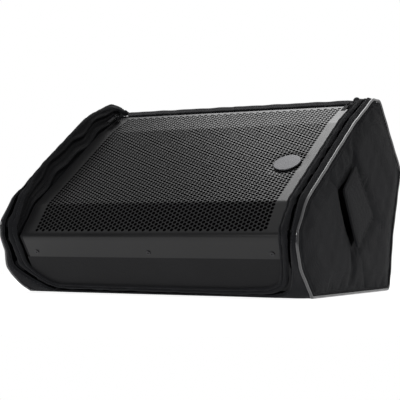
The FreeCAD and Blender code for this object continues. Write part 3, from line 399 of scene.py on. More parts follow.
# ---- materials -------------------------------------------------------------------------------
def add_node(tree, kind, inputs, output=0, **settings):
    """Output of a new node: each input is a value, or another node's output to link."""
    node = tree.nodes.new("ShaderNode" + kind)
    for name, value in settings.items():
        setattr(node, name, value)
    for name, value in inputs.items():
        if hasattr(value, "is_linked"):
            tree.links.new(value, node.inputs[name])
        else:
            node.inputs[name].default_value = value
    return node.outputs[output]


def remap(tree, value, low, high, made_low, made_high):
    """Output that goes from made_low to made_high as the value goes from low to high."""
    return add_node(tree, "MapRange", {"Value": value, "From Min": low, "From Max": high,
                                       "To Min": made_low, "To Max": made_high})


class Look:
    """A node material: colour, roughness and bump all come from procedural textures."""

    def __init__(self, name, colour, roughness, metallic=0.0, specular=0.5):
        self.material = bpy.data.materials.new(name)
        self.material.use_nodes = True
        self.tree = self.material.node_tree
        self.shader = self.tree.nodes["Principled BSDF"].inputs
        self.shader["Metallic"].default_value = metallic
        self.shader["Specular IOR Level"].default_value = specular
        self.shader["Roughness"].default_value = roughness
        self.colour = add_node(self.tree, "RGB", {})
        self.colour.default_value = (*colour, 1.0)
        self.roughness = roughness
        self.place = add_node(self.tree, "TexCoord", {}, "Object")
        self.relief = {}

    def math(self, kind, a, b, c=0.0):
        return add_node(self.tree, "Math", {0: a, 1: b, 2: c}, operation=kind)

    def noise(self, size, detail=3.0, stretch=(1, 1, 1)):
        place = add_node(self.tree, "Mapping", {"Vector": self.place, "Scale": stretch})
        return add_node(self.tree, "TexNoise",
                        {"Vector": place, "Scale": 1.0 / size, "Detail": detail}, "Fac")

    def cells(self, size):
        return add_node(self.tree, "TexVoronoi", {"Vector": self.place, "Scale": 1.0 / size},
                        "Distance")

    def threads(self, size):
        """Crossed threads of a plain weave, whichever way the surface faces."""
        waves = {"Vector": self.place, "Scale": 0.314 / size, "Distortion": 0.6, "Detail": 1.0}
        x, y, z = (add_node(self.tree, "TexWave", waves, "Fac", wave_type="BANDS",
                            bands_direction=direction) for direction in ("X", "Y", "Z"))
        crossed = self.math("ADD", self.math("MULTIPLY", x, y), self.math("MULTIPLY", y, z))
        return self.math("ADD", crossed, self.math("MULTIPLY", x, z))

    def shade(self, fac, low, high):
        """Multiplies the colour by low to high as fac goes from 0.3 to 0.7."""
        share = remap(self.tree, fac, 0.3, 0.7, low, high)
        self.colour = add_node(self.tree, "VectorMath", {0: self.colour, "Scale": share},
                               operation="SCALE")

    def rough(self, fac, spread):
        spread_out = self.math("MULTIPLY_ADD", fac, spread, self.roughness - spread / 2)
        self.tree.links.new(spread_out, self.shader["Roughness"])

    def bump(self, fac, distance, strength=1.0):
        self.relief["Normal"] = add_node(
            self.tree, "Bump", {"Distance": distance, "Strength": strength, "Height": fac,
                                **self.relief})

    def done(self, **sockets):
        for name, value in sockets.items():
            self.shader[name.replace("_", " ")].default_value = value
        self.tree.links.new(self.colour, self.shader["Base Color"])
        for name, output in self.relief.items():
            self.tree.links.new(output, self.shader[name])
        return self.material


def woven(name, colour, thread=0.0009, relief=0.00025, roughness=0.85, sheen=0.035, specular=0.10):
    look = Look(name, colour, roughness, specular=specular)
    threads = look.threads(thread)
    patches = look.noise(0.05, 4.0)
    look.shade(threads, 0.8, 1.15)
    look.shade(patches, 0.88, 1.12)
    look.rough(patches, 0.12)
    look.bump(look.noise(0.018, 3.0), 0.0012, 0.5)
    look.bump(threads, relief, 0.8)
    return look.done(Sheen_Weight=sheen, Sheen_Roughness=0.5)


def sprayed(name, colour, roughness, grain=0.0011, relief=0.00012, specular=0.5):
    """Paint with a fine pebbled texture."""
    look = Look(name, colour, roughness, specular=specular)
    pebbles = look.cells(grain)
    dust = look.noise(0.07, 5.0)
    look.shade(dust, 0.9, 1.1)
    look.shade(pebbles, 1.06, 0.94)
    look.rough(dust, 0.1)
    look.bump(pebbles, relief, 0.7)
    return look.done()


def moulded(name, colour, roughness=0.42, specular=0.5):
    """Moulded plastic with a faint spark-eroded grain."""
    look = Look(name, colour, roughness, specular=specular)
    grain = look.noise(0.0006, 2.0)
    haze = look.noise(0.02, 3.0)
    look.shade(haze, 0.92, 1.08)
    look.rough(haze, 0.12)
    look.bump(grain, 0.00004, 0.6)
    return look.done()


def metal(name, colour, roughness, brushed=(1, 1, 1), specular=0.5):
    look = Look(name, colour, roughness, metallic=1.0, specular=specular)
    lines = look.noise(0.0012, 3.0, brushed)
    haze = look.noise(0.03, 4.0)
    look.shade(lines, 0.93, 1.07)
    look.shade(haze, 0.9, 1.08)
    look.rough(haze, 0.15)
    look.bump(lines, 0.00003, 0.5)
    return look.done()


def soft_foam(name, colour, pore=0.0016):
    look = Look(name, colour, 0.95, specular=0.0)
    pores = look.cells(pore)
    look.shade(pores, 0.6, 1.2)
    look.bump(pores, 0.0006, 0.8)
    return look.done()


NYLON = woven("cover_nylon", (0.0070, 0.0072, 0.0085))
# Grey lining of the thrown-back lid: its light grey is partly painted highlight of the rim light along
# the lid's edge.
LID_LINING_PAINTED_RIM_LIGHT = woven("lid_lining_painted_rim_light", (0.075, 0.075, 0.078), sheen=0.15)
# Lining of the slack side: its colour, darker than the cover, is painted shade of the gap behind the
# standing edge.
LINER_PAINTED_SHADE = woven("cover_liner_painted_shade", (0.0045, 0.0046, 0.0054), 0.0006, 0.0001, 0.6, 0.0)
BINDING = woven("cover_binding", (0.0125, 0.0128, 0.0150), 0.0006, 0.0002, 0.7)
THREAD = woven("sewing_thread", (0.03, 0.03, 0.034), 0.0004, 0.0001, 0.6)
# Zip tape in the gap: its near-black, darker than the cover, is painted shade of the deep gap.
ZIP_TAPE_PAINTED_SHADE = woven("zip_tape", (0.0015, 0.0015, 0.0018), 0.0005, 0.0001, 0.95, 0.0, 0.0)
PIPING = moulded("piping_vinyl", (0.012, 0.012, 0.014), 0.2, 0.9)
COIL = moulded("zip_coil", (0.008, 0.008, 0.009), 0.35, 0.2)
# Black cloth behind the holes: its black is partly painted shade of the dark inside of the cabinet.
GRILLE_CLOTH_PAINTED_SHADE = woven("grille_cloth", (0.0015, 0.0015, 0.0016), 0.0006, 0.0001, 0.95, 0.0, 0.0)
GRILLE_PAINT = sprayed("grille_powder_coat", (0.006, 0.006, 0.0065), 0.34, 0.0007, 0.00002, 0.3)
CABINET_PAINT = sprayed("cabinet_texture_paint", (0.0080, 0.0080, 0.0087), 0.55, 0.0022, 0.00028, 0.1)

NODE_LOOKS = {
    CABINET_PAINT: ["cabinet_sides", "cabinet_front", "cabinet_bottom", "cabinet_baffle",
                    "cabinet_back_upper", "cabinet_back_lower", "cabinet_battens"],
    metal("badge_satin", (0.07, 0.07, 0.074), 0.42): ["grille_badge"],
    metal("black_screw", (0.05, 0.05, 0.052), 0.45): ["grille_screws", "panel_screws",
                                                      "woofer_screws"],
    moulded("port_plastic", (0.02, 0.02, 0.02), 0.5): ["port_tubes", "control_bodies"],
    moulded("handle_plastic", (0.014, 0.014, 0.015), 0.55): ["handle_cups"],
    moulded("foot_rubber", (0.02, 0.02, 0.02), 0.8, 0.3): ["rubber_feet"],
    soft_foam("acoustic_foam", (0.0015, 0.0015, 0.0016)): ["grille_foam", "woofer_gasket"],
    soft_foam("grey_damping", (0.05, 0.05, 0.055), 0.004): ["damping_foam"],
    sprayed("cast_basket", (0.03, 0.03, 0.032), 0.45): ["woofer_basket"],
    woven("surround_cloth", (0.014, 0.014, 0.014), 0.001, 0.0001): ["woofer_surround", "hf_suspension"],
    woven("spider_cloth", (0.25, 0.16, 0.07), 0.0012, 0.0002): ["woofer_spider"],
    soft_foam("cone_paper", (0.02, 0.02, 0.021), 0.0022): ["woofer_cone"],
    metal("coil_wire", (0.72, 0.34, 0.16), 0.3, (1, 1, 30)): ["woofer_voice_coil"],
    metal("motor_steel", (0.35, 0.35, 0.36), 0.4): ["woofer_top_plate", "woofer_yoke", "hf_cover"],
    sprayed("ferrite", (0.03, 0.03, 0.032), 0.6, 0.0009): ["woofer_magnet", "hf_magnet"],
    moulded("horn_plastic", (0.015, 0.015, 0.015), 0.35): ["horn"],
    metal("diaphragm_titanium", (0.5, 0.5, 0.52), 0.25): ["hf_diaphragm"],
    sprayed("amp_panel_paint", (0.022, 0.022, 0.024), 0.5, 0.0008, 0.00008): ["amp_panel"],
    metal("heatsink_black", (0.03, 0.03, 0.033), 0.45, (1, 12, 1)): ["amp_heatsink"],
    moulded("circuit_board", (0.008, 0.05, 0.02), 0.35): ["amp_circuit_board"],
    moulded("components", (0.03, 0.03, 0.05), 0.4): ["amp_board_components"],
    metal("transformer", (0.3, 0.22, 0.12), 0.5): ["amp_transformer"],
    moulded("socket_black", (0.02, 0.02, 0.021), 0.38): ["input_socket", "link_socket"],
    metal("latch_metal", (0.55, 0.55, 0.57), 0.3): ["input_latch"],
    moulded("knob_rubber", (0.025, 0.025, 0.026), 0.6): ["level_knob"],
    moulded("button_grey", (0.12, 0.12, 0.125), 0.45): ["preset_button"],
    moulded("light_lens", (0.05, 0.35, 0.07), 0.15): ["status_light"],
    moulded("rocker_black", (0.018, 0.018, 0.019), 0.25): ["power_rocker", "power_rocker_frame"],
    moulded("inlet_blue", (0.02, 0.05, 0.16), 0.4): ["mains_inlet"],
    moulded("lead_jacket", (0.02, 0.02, 0.02), 0.5): ["speaker_lead"],
    moulded("zip_enamel", (0.008, 0.008, 0.009), 0.7, 0.08): ["zip_sliders", "zip_pull_left",
                                                              "zip_pull_right"],
}
for look, names in NODE_LOOKS.items():
    for name in names:
        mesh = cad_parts[name].data
        mesh.materials.clear()
        mesh.materials.append(look)
        mesh.shade_smooth()
        mesh.set_sharp_from_angle(angle=math.radians(30))


# ---- grille ----------------------------------------------------------------------------------
def dish(points):
    """How far the pressed ring round the badge sinks the sheet."""
    up = GRILLE.where(LOWER_CREASE) + BADGE_UP
    radius = np.hypot(points[:, 0] - BADGE_X, points[:, 1] - up)
    inner = smooth(BADGE_RADIUS - 0.007, BADGE_RADIUS - 0.002, radius)
    return DISH_DEPTH * inner * (1 - smooth(BADGE_RADIUS + 0.003, DISH_RADIUS, radius)), radius


def grille_holes(low, high):
    """Hole centres in staggered columns between two lengths up the sheet."""
    column = HOLE_PITCH * math.sqrt(3) / 2
    columns = int(2 * (PERFORATED_HALF - HOLE_RADIUS) / column) + 1
    centres = []
    for i in range(columns):
        x = (i - (columns - 1) / 2) * column
        start = low + HOLE_RADIUS + (i % 2) * HOLE_PITCH / 2
        rows = int((high - HOLE_RADIUS - start) / HOLE_PITCH) + 1
        centres += [(x, start + k * HOLE_PITCH) for k in range(rows)]
    centres = np.array(centres)
    return centres[dish(centres)[1] > BADGE_RADIUS - 0.0015]


def circle(centre, radius, count=12):
    angles = 2 * math.pi * (np.arange(count) + 0.5) / count
    return np.stack([centre[0] + radius * np.cos(angles), centre[1] + radius * np.sin(angles)], -1)


def grille_place(points, layer):
    return GRILLE.place(points[:, 0], points[:, 1], -dish(points)[0] - (1 - layer) * SHEET_THICK)


def grille_margin(top):
    """Extra points on the smooth margins, so that the sheet bends cleanly there."""
    nose = GRILLE.where(NOSE)
    badge_up = GRILLE.where(LOWER_CREASE) + BADGE_UP
    inner_x, outer_x = PERFORATED_HALF + 0.007, GRILLE_HALF - 0.0025
    strips = [grid_points(x0, x1, 0.002, top - 0.002, 0.0028)
              for x0, x1 in ((-outer_x, -inner_x), (inner_x, outer_x))]
    strips.append(grid_points(-0.2365, 0.2365, nose - 0.014, nose + 0.0075, 0.0027))
    strips += [circle((BADGE_X, badge_up), radius, 60) for radius in (0.0125, 0.014, 0.0155, 0.017)]
    return np.concatenate(strips)


def build_grille():
    top = GRILLE.length
    centres = grille_holes(GRILLE.where(NOSE) + 0.009, top - 0.006)
    holes = [circle(centre, HOLE_RADIUS, 10) for centre in centres]
    holes += [circle((x, SCREW_UP), 0.0022) for x in (-SCREW_PITCH, 0.0, SCREW_PITCH)]
    edge = rectangle(-GRILLE_HALF, GRILLE_HALF, 0.0, top, 0.004)
    piece = panel("grille_sheet", [edge] + holes, grille_margin(top), grille_place,
                  material=GRILLE_PAINT)
    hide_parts("grille")


def build_grille_cloth():
    """Black acoustic cloth stretched behind the whole perforated part of the sheet. Its black also
    paints the shade seen through the holes.
    """
    low, high, half = GRILLE.where(NOSE) + 0.006, GRILLE.length - 0.003, PERFORATED_HALF + 0.003
    edge = rectangle(-half, half, low, high, 0.006)
    inner = grid_points(-half + 0.005, half - 0.005, low + 0.003, high - 0.003, 0.006)

    def place(points, layer):
        return GRILLE.place(points[:, 0], points[:, 1], -dish(points)[0] - 0.0017 + 0.0005 * layer)

    piece = panel("grille_cloth", [edge], inner, place, material=GRILLE_CLOTH_PAINTED_SHADE)


build_grille()
build_grille_cloth()


# ---- cover -----------------------------------------------------------------------------------
# Rise of the opening's free edge on the slack left side, at places along the front.
EDGE_AT = [T_FOOT, T_NOSE, T_NOSE + 0.035] + [
    T_LOWER + up for up in (0.0, 0.041, 0.085, 0.136, 0.188, 0.242)] + [
    T_UPPER + 0.036, T_UPPER + 0.077, T_TOP]
EDGE_RISE = [0.0, 0.0, 0.005, 0.0125, 0.0225, 0.026, 0.0245, 0.0245, 0.0225, 0.0195, 0.0125, 0.002]


def opening_path(step):
    """Evenly spaced (x, t) points round the opening, with the direction away from it."""
    end = T_TOP + 0.016
    corners = [(OPENING_LEFT, end)] + [(x, T_FOOT + up) for x, up in LIP_LINE] + [
        (OPENING_NOSE, T_NOSE - 0.006), (OPENING_RIGHT, T_LOWER), (OPENING_RIGHT, end)]
    line = rounded(corners, [0.055, 0.2, 0.1, 0.03, 0.014, 0.08, 0.05, 0.05], 0.002)
    path, even = evenly(line, step, closed=False)
    along = tangents(path, closed=False)
    return path, np.stack([along[:, 1], -along[:, 0]], -1), even


def slack_edge(x, t, away):
    """3-D offset of the left side's free edge: it stands up and leans outwards."""
    left = smooth(-0.19, -0.245, x) * np.clip(1 - away, 0, 1) ** 1.2
    rise = np.interp(t, EDGE_AT, EDGE_RISE)
    return left * rise * (1 + 0.03 * ripple(t, [0.083, 0.047]))


def front_place(x, t, h, away):
    rise = slack_edge(x, t, away)
    puff = 0.007 * smooth(-0.2, -0.26, x) * np.sin(math.pi * np.clip(away, 0, 1)) * smooth(
        T_FOOT + 0.02, T_NOSE, t)
    return soft(x - 0.3 * rise, t, h + rise + puff)


def cloth(grid):
    """Works out the flat size of a sheet's outer face, its area and mean length, and does nothing with
    them.
    """
    a, b = grid[1:, :-1] - grid[:-1, :-1], grid[:-1, 1:] - grid[:-1, :-1]
    c, d = grid[:-1, 1:] - grid[1:, 1:], grid[1:, :-1] - grid[1:, 1:]
    area = sum(np.linalg.norm(np.cross(p, q), axis=-1).sum() / 2 for p, q in ((a, b), (c, d)))
    length = np.linalg.norm(np.diff(grid, axis=0), axis=-1).sum(axis=0).mean()


def hem_height(v, groove, droop):
    """Two sewn rolls of the free edge (centre, half width, rise), then the open gap of the zip."""
    u = v * GROOVE_RIGHT / groove
    h = -HEM_DEPTH - droop * (1 - smooth(0.0, 0.011, u))
    for centre, half, rise in HEM_ROLLS:
        h += rise * np.sqrt(np.clip(1 - ((u - centre) / half) ** 2, 0, 1))
    return h - GAP_DEPTH * np.exp(-((v - groove) / GAP_HALF) ** 4)


def front_strip(step, across):
    """Flat places, heights, shares and hem of the front strip, at across() from its free edge."""
    path, away, even = opening_path(step)
    reach_x = (COVER_HALF - 0.0015 - np.abs(path[:, 0])) / np.maximum(np.abs(away[:, 0]), 1e-6)
    reach_t = (path[:, 1] - (T_FOOT - 0.012)) / np.maximum(-away[:, 1], 1e-6)
    x, t, reach, even = (a[:, None] for a in (*path.T, np.minimum(reach_x, reach_t), even))
    groove = GROOVE_LEFT + (GROOVE_RIGHT - GROOVE_LEFT) * smooth(-0.1, 0.15, x)
    tape = groove + GROOVE_SIDE
    v = across(groove, tape, reach)
    flat = path[:, None] + away[:, None] * v[..., None]
    droop = 0.0005 + 0.0015 * smooth(T_NOSE - 0.02, T_NOSE + 0.01, t) * smooth(-0.1, 0.1, x)
    h = hem_height(v, groove + 0.0013 * ripple(even, [0.083, 0.047, 0.029]), droop)
    h += (-0.0030 - h) * smooth(T_TOP - 0.028, T_TOP - 0.004, t)
    w = np.clip((v - tape) / (reach - tape), 0, 1)
    body = -0.0026 + 0.0030 * smooth(0.0, 0.10, w) + 0.0018 * np.sin(math.pi * w)
    h = np.where(v > tape - 0.0010, np.maximum(h, body), h) - 0.0016 * smooth(0.93, 1.0, w)
    h = np.minimum(h, 0.02 * smooth(T_FOOT, T_FOOT + 0.06, flat[..., 1]))
    h += 0.0005 * ripple(even + 7 * v, [0.05, 0.031]) * smooth(T_FOOT, T_NOSE, flat[..., 1])
    return flat, h, v / reach, v < tape


def build_front():
    """Hem, gap and gusset in one strip that runs down one side, along the lip and up again."""
    inner = np.concatenate([np.linspace(0, 0.72, 24), np.linspace(0.75, 1.0, 11)])
    outer = np.linspace(0, 1, 18)
    outer = outer * 0.7 + 0.3 * (1 - np.cos(math.pi * outer)) / 2

    def across(groove, tape, reach):
        return np.concatenate([tape * inner, tape + 0.0004 + outer * (reach - tape - 0.0004)], 1)

    flat, h, share, hem = front_strip(0.0025, across)
    depth = np.where(hem, 0.0012, 0.0024)
    upper = front_place(flat[..., 0], flat[..., 1], h, share)
    lower = front_place(flat[..., 0], flat[..., 1], np.minimum(h, -0.0016) - depth, share)
    rings = np.concatenate([upper, lower[:, ::-2][:, :-1], lower[:, :1]], 1)
    verts, faces = loft(rings)
    piece = make("cover_front", verts, faces, material=NYLON, sharp=60)
    # Faces deep in the gap take the near-black tape, which paints the gap's shade.
    piece.data.materials.append(ZIP_TAPE_PAINTED_SHADE)
    column = np.arange(len(faces)) % rings.shape[1]
    in_gap = np.append((inner > 0.71) & (inner < 0.94), np.zeros(rings.shape[1] - len(inner), bool))
    piece.data.polygons.foreach_set("material_index", in_gap[column].astype(np.int32))
    recalculate(piece)
    cloth(upper)
    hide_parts("cover_bands", "zip_tapes")


def along_strip(across, lift, step):
    """Places, directions along and outwards at even steps on the front strip."""
    flat, h, share, _ = front_strip(step, across)
    points, raised = (front_place(flat[..., 0], flat[..., 1], h + more, share)[:, 0]
                      for more in (lift, lift + 0.002))
    return points, tangents(points, closed=False), normalised(raised - points)


def build_zip():
    """Row of zip coils in the gap, and the sewing along the hem and the gusset."""
    teeth = [bricks(*along_strip(lambda groove, tape, reach: groove + side * 0.0007, 0.0004, 0.0018),
                    (0.0009, 0.0016, 0.0011)) for side in (-1, 1)]
    piece = make("zip_coils", *merge(teeth), material=COIL)
    rows = [bricks(*along_strip(lambda groove, tape, reach: groove * 0.325, 0.0001, 0.0042),
                   (0.0028, 0.0006, 0.0007)),
            bricks(*along_strip(lambda groove, tape, reach: tape + 0.0026, 0.0, 0.0042),
                   (0.0028, 0.0006, 0.0006))]
    piece = make("front_stitches", *merge(rows), material=THREAD)


def build_liner():
    """Loose lining of the slack left side, from its hem down to the monitor, folded lengthwise. Its
    colour, darker than the cover, is painted shade of the gap it hangs in.
    """
    t = np.linspace(T_NOSE - 0.012, T_TOP + 0.004, 240)[:, None]
    down = np.linspace(0, 1, 22)
    edge = front_place(np.full(t.shape, OPENING_LEFT), t, -0.0052, 0.0)
    foot = COVER.place(np.full(t.shape, -0.2622), t, -0.019)
    grid = edge + (foot - edge) * down[:, None]
    height = np.clip(np.linalg.norm(edge - foot, axis=-1) / 0.04, 0, 1)
    phase = 5.0 * down + 0.9 * ripple(t, [0.37, 0.17, 0.083])
    folds = (0.0024 * np.sin(phase * 2.1) + 0.0012 * np.sin(phase * 4.7 + 5 * t)) * np.sin(
        math.pi * down) ** 0.6 * height
    grid[..., 0] += folds - 0.002 * np.sin(math.pi * down) * height
    back = grid.copy()
    back[..., 0] -= 0.0009
    verts, faces = loft(np.concatenate([grid, back[:, ::-1]], 1))
    piece = make("cover_lining", verts, faces, material=LINER_PAINTED_SHADE, sharp=70)
    recalculate(piece)
    cloth(grid)


def build_corner_folds():
    """Bunched ends of the cover's opening, between its hem and the corner of the lid."""
    parts = []
    for side, outer in ((-1, OPENING_LEFT), (1, OPENING_RIGHT)):
        start = front_place(outer + side * 0.006, T_TOP - 0.004, -0.0050, 0.2)
        middle = COVER.place(side * 0.2495, T_TOP + 0.004, -0.0060)
        end = BACK.place(side * 0.238, 0.008, -0.0015)
        line = rounded([start[[0, 2]], middle[[0, 2]], end[[0, 2]]], [0.01], 0.0008)
        share = np.linspace(0, 1, len(line))[:, None]
        depth = start[1] * (1 - share) + end[1] * share
        path = np.concatenate([line[:, :1], depth, line[:, 1:]], 1)
        swollen = np.sin(math.pi * np.clip(share[:, 0], 0.03, 0.97)) ** 0.5
        radius = 0.0062 * swollen * (1 + 0.1 * ripple(share[:, 0], [0.41, 0.23]))
        parts.append(tube(path, radius, 20))
    piece = make("corner_folds", *merge(parts), material=NYLON)


def outline_ring(side, step, inset, h):
    """(t, points) round the whole side outline of the cover, at x = side * (half width - inset)."""
    t = np.linspace(0, COVER.length, round(COVER.length / step), endpoint=False)
    return t, soft(side * (COVER_HALF - inset), t, h)


def build_piping():
    parts = []
    for side in (-1, 1):
        t, ring = outline_ring(side, 0.0035, 0.0015, 0.0012)
        ring[:, 0] += 0.0004 * ripple(t, [0.11, 0.043])
        ring[:, 2] = np.maximum(ring[:, 2], PIPING_RADIUS)
        parts.append(tube(ring, PIPING_RADIUS, 12, closed=True))
        flange = soft(side * (COVER_HALF - 0.0032), t, -0.0012)
        parts.append(tube(flange, 0.0009, 6, closed=True))
    piece = make("piping", *merge(parts), material=PIPING)
    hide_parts("side_piping")


def ray_radius(polygon, centre, ways):
    """Distance from the centre to a convex polygon's edge along each direction."""
    loop = np.array(list(polygon) + [polygon[0]]) - centre
    reach, along = crossings(np.zeros(2), ways[:, None], loop)
    hit = (reach > 0) & (along >= -1e-9) & (along <= 1 + 1e-9)
    return np.where(hit, reach, np.inf).min(axis=1)


def swell(piece, held, cap):
    """Blows a closed piece up as padded cloth, sewn down where held() of its points is true."""
    scene = bpy.context.scene
    double = bpy.data.objects.new(piece.name + "_cloth", piece.data.copy())
    scene.collection.objects.link(double)
    remesh = double.modifiers.new("remesh", "REMESH")
    remesh.mode, remesh.voxel_size = "VOXEL", CLOTH_VOXEL
    even = bpy.data.meshes.new_from_object(double.evaluated_get(bpy.context.evaluated_depsgraph_get()))
    double.modifiers.clear()
    double.data = even
    start = np.array([tuple(v.co) for v in even.vertices])
    sewn = double.vertex_groups.new(name="sewn")
    sewn.add(np.flatnonzero(held(start)).tolist(), 1.0, "REPLACE")
    modifier = double.modifiers.new("cloth", "CLOTH")
    settings = modifier.settings
    settings.vertex_group_mass = "sewn"
    settings.use_pressure = True
    settings.uniform_pressure_force = CLOTH_PRESSURE
    settings.shrink_min = -CLOTH_GROW
    settings.effector_weights.gravity = 0.0
    modifier.point_cache.frame_start, modifier.point_cache.frame_end = 1, CLOTH_FRAMES
    for step in range(1, CLOTH_FRAMES + 1):
        scene.frame_set(step)
    shaped = double.evaluated_get(bpy.context.evaluated_depsgraph_get()).to_mesh()
    moved = np.array([tuple(v.co) for v in shaped.vertices]) - start
    far = np.linalg.norm(moved, axis=1, keepdims=True)
    moved *= cap / np.sqrt(cap ** 2 + far ** 2)
    tree = KDTree(len(start))
    for i, point in enumerate(start):
        tree.insert(point, i)
    tree.balance()
    for vertex in piece.data.vertices:
        near = tree.find_n(vertex.co, 6)
        weight = np.array([1.0 / (distance ** 2 + 1e-6) for _, _, distance in near])
        vertex.co += Vector(weight @ moved[[i for _, i, _ in near]] / weight.sum())
    bpy.data.objects.remove(double)
    scene.frame_set(1)


def build_side(side):
    """Crowned pad from the piping to the diamond opening, 11 mm thick."""
    _, ring = outline_ring(side, 0.003, 0.0, -0.0022)
    rim = ring[:, 1:]
    angles = np.arctan2(*(rim - FLAP_CENTRE).T[::-1])
    rim_radius = np.linalg.norm(rim - FLAP_CENTRE, axis=1)
    direction = np.stack([np.cos(angles), np.sin(angles)], -1)
    flap_radius = ray_radius(FLAP, FLAP_CENTRE, direction)
    front = 0.5 - 0.5 * np.cos(angles - math.radians(15))
    hole_radius = flap_radius * (0.77 + 0.27 * front ** 2)
    bulge = np.abs(ring[:, 0]) - COVER_HALF
    shares = np.concatenate([np.linspace(0, 0.09, 9), np.linspace(0.11, 0.94, 30),
                             np.linspace(0.955, 1.0, 5)])
    layers = []
    for share in shares:
        radius = rim_radius + (hole_radius - rim_radius) * share
        flat = FLAP_CENTRE + direction * radius[:, None]
        edge = rim_radius - radius
        clear = smooth(1.02, 1.45, radius / flap_radius)
        crown = 0.0042 * smooth(0.006, 0.055, edge) * clear
        seam = 0.0013 * np.exp(-((edge - 0.0075) / 0.0016) ** 2)
        roll = 0.003 * (1 - smooth(0.0, 0.006, edge)) + 0.004 * smooth(0.965, 1.0, share)
        folds = 0.0004 * ripple(flat[:, 0] * 0.8 + flat[:, 1], [0.083, 0.051], 0.4) * clear
        folds += 0.0003 * ripple(flat[:, 0] - 0.6 * flat[:, 1], [0.067, 0.039], 1.1) * clear
        slack = bulge * (1 - smooth(0.0, 0.8, share))
        x = COVER_HALF + slack + crown + folds - seam - roll
        layers.append(in_space(side * x, flat))
    for share in (1.0, 0.0):
        radius = rim_radius + (hole_radius - rim_radius) * share
        flat = FLAP_CENTRE + direction * radius[:, None]
        x = COVER_HALF - SIDE_PAD + bulge * (1 - share)
        layers.append(in_space(side * x, flat))
    verts, faces = loft(np.stack(layers, 1), closed_path=True)
    name = "side_pad_right" if side > 0 else "side_pad_left"
    piece = make(name, verts, faces, material=NYLON, sharp=70)
    recalculate(piece)
    order = np.argsort(angles)

    def sewn(points):
        around = points[:, 1:] - FLAP_CENTRE
        way, radius = np.arctan2(around[:, 1], around[:, 0]), np.linalg.norm(around, axis=1)
        rim, hole = (np.interp(way, angles[order], r[order], period=2 * math.pi)
                     for r in (rim_radius, hole_radius))
        return (np.abs(points[:, 0]) < COVER_HALF - 0.006) | (rim - radius < 0.010) | (
            radius - hole < 0.012)

    swell(piece, sewn, 0.003)
    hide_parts("cover_sides")


def build_side_stitches():
    rows = []
    for side in (-1, 1):
        _, ring = outline_ring(side, 0.0042, 0.0, -0.0022)
        ring[:, 1:] += normalised(FLAP_CENTRE - ring[:, 1:]) * 0.0075
        ring[:, 0] -= side * 0.0011
        out = np.tile((float(side), 0.0, 0.0), (len(ring), 1))
        rows.append(bricks(ring, tangents(ring, closed=True), out, (0.0028, 0.0005, 0.0006)))
    piece = make("side_stitches", *merge(rows), material=THREAD)


def turned(points, origin, axis, degrees):
    """Points turned about an axis through origin."""
    axis = normalised(np.asarray(axis))
    angle = math.radians(degrees)
    p = points - origin
    return (p * math.cos(angle) + np.cross(axis, p) * math.sin(angle)
            + axis * (p @ axis)[:, None] * (1 - math.cos(angle))) + origin


def build_flap(side):
    """Padded diamond handle flap: sewn along its back edges, standing open at the front."""
    middle = tuple((Vector(FLAP[0]) + Vector(FLAP[1])) / 2)
    line = rounded([middle] + FLAP[1:] + FLAP[:1] + [middle], [0.006] * 4, 0.001)
    edge, even = evenly(line, 0.0022, closed=True)
    to_centre = FLAP_CENTRE - edge
    reach = np.linalg.norm(to_centre, axis=1)
    back_side = smooth(-0.2, 0.5, (to_centre[:, 0] / reach) * -1)
    half = FLAP_HALF_THICK
    middle_x = COVER_HALF + half + FLAP_CLEAR
    outer, inner = [], []
    for share in (0.0, 0.012, 0.03, 0.055, 0.08, 0.1, 0.12, 0.15, 0.2, 0.3, 0.45, 0.62, 0.8, 0.94):
        flat = edge + to_centre * share
        depth = reach * share
        thick = half * (0.7 + 0.3 * smooth(0.0, 0.003, depth)) + 0.0008 * smooth(0.004, 0.03, depth)
        thick = thick - 0.0009 * np.exp(-((depth - 0.0058) / 0.0011) ** 2)
        wrinkle = 0.0006 * ripple(even, [0.019, 0.011]) * (1 - smooth(0.0, 0.022, depth))
        thick = thick + wrinkle * back_side
        outer.append(in_space(middle_x + thick, flat))
        inner.append(in_space(middle_x - np.minimum(thick, half), flat))
    verts = np.concatenate(outer + inner + [[(middle_x + half + 0.0008, *FLAP_CENTRE),
                                             (middle_x - half, *FLAP_CENTRE)]])
    count, number, faces = len(edge), len(outer), []
    for layer in (0, 1):
        start = layer * number * count
        for k in range(number - 1):
            faces += band(start + k * count, start + (k + 1) * count, count)
        last = start + (number - 1) * count
        faces += [(last + i, last + (i + 1) % count, 2 * number * count + layer)
                  for i in range(count)]
    faces += band(0, number * count, count)
    hinge = np.array([COVER_HALF + 0.0004, *FLAP[0]])
    verts = turned(verts, hinge, (0.0, *np.subtract(FLAP[3], FLAP[0])), FLAP_LEAN)
    verts[:, 0] *= side
    name = "flap_right" if side > 0 else "flap_left"
    piece = make(name + "_pad", verts, faces, body=name, material=NYLON, sharp=60)
    recalculate(piece)
    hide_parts("handle_" + name)


def back_depth(t):
    """The back wall runs under the lid, and comes out to the outline at its foot."""
    return -(LID_DEPTH + LID_GAP) * np.interp(t, [BACK_END, BACK_FOOT_AT], [1.0, 0.0])


def back_place(points, layer):
    x, t = points[:, 0], points[:, 1]
    window = smooth(0.0, 0.05, np.maximum(np.abs(x) - WINDOW_HALF, 0)
                    + np.maximum(t - WINDOW_TO, 0) + np.maximum(WINDOW_FROM - t, 0))
    puff = (0.0012 * ripple(x + 0.5 * t, [0.16, 0.09]) + 0.0008 * ripple(t, [0.07])) * window
    puff = puff * (1 - smooth(0.25, 0.27, np.abs(x))) * smooth(BACK_END, BACK_END + 0.02, t)
    puff = puff * (1 - smooth(BACK_FOOT_AT - 0.03, BACK_FOOT_AT - 0.012, t))
    slack = 0.003 * smooth(-0.238, -0.282, x)
    return BACK.place(x - slack, t, back_depth(t) + puff - 0.0002 - (1 - layer) * 0.0036)


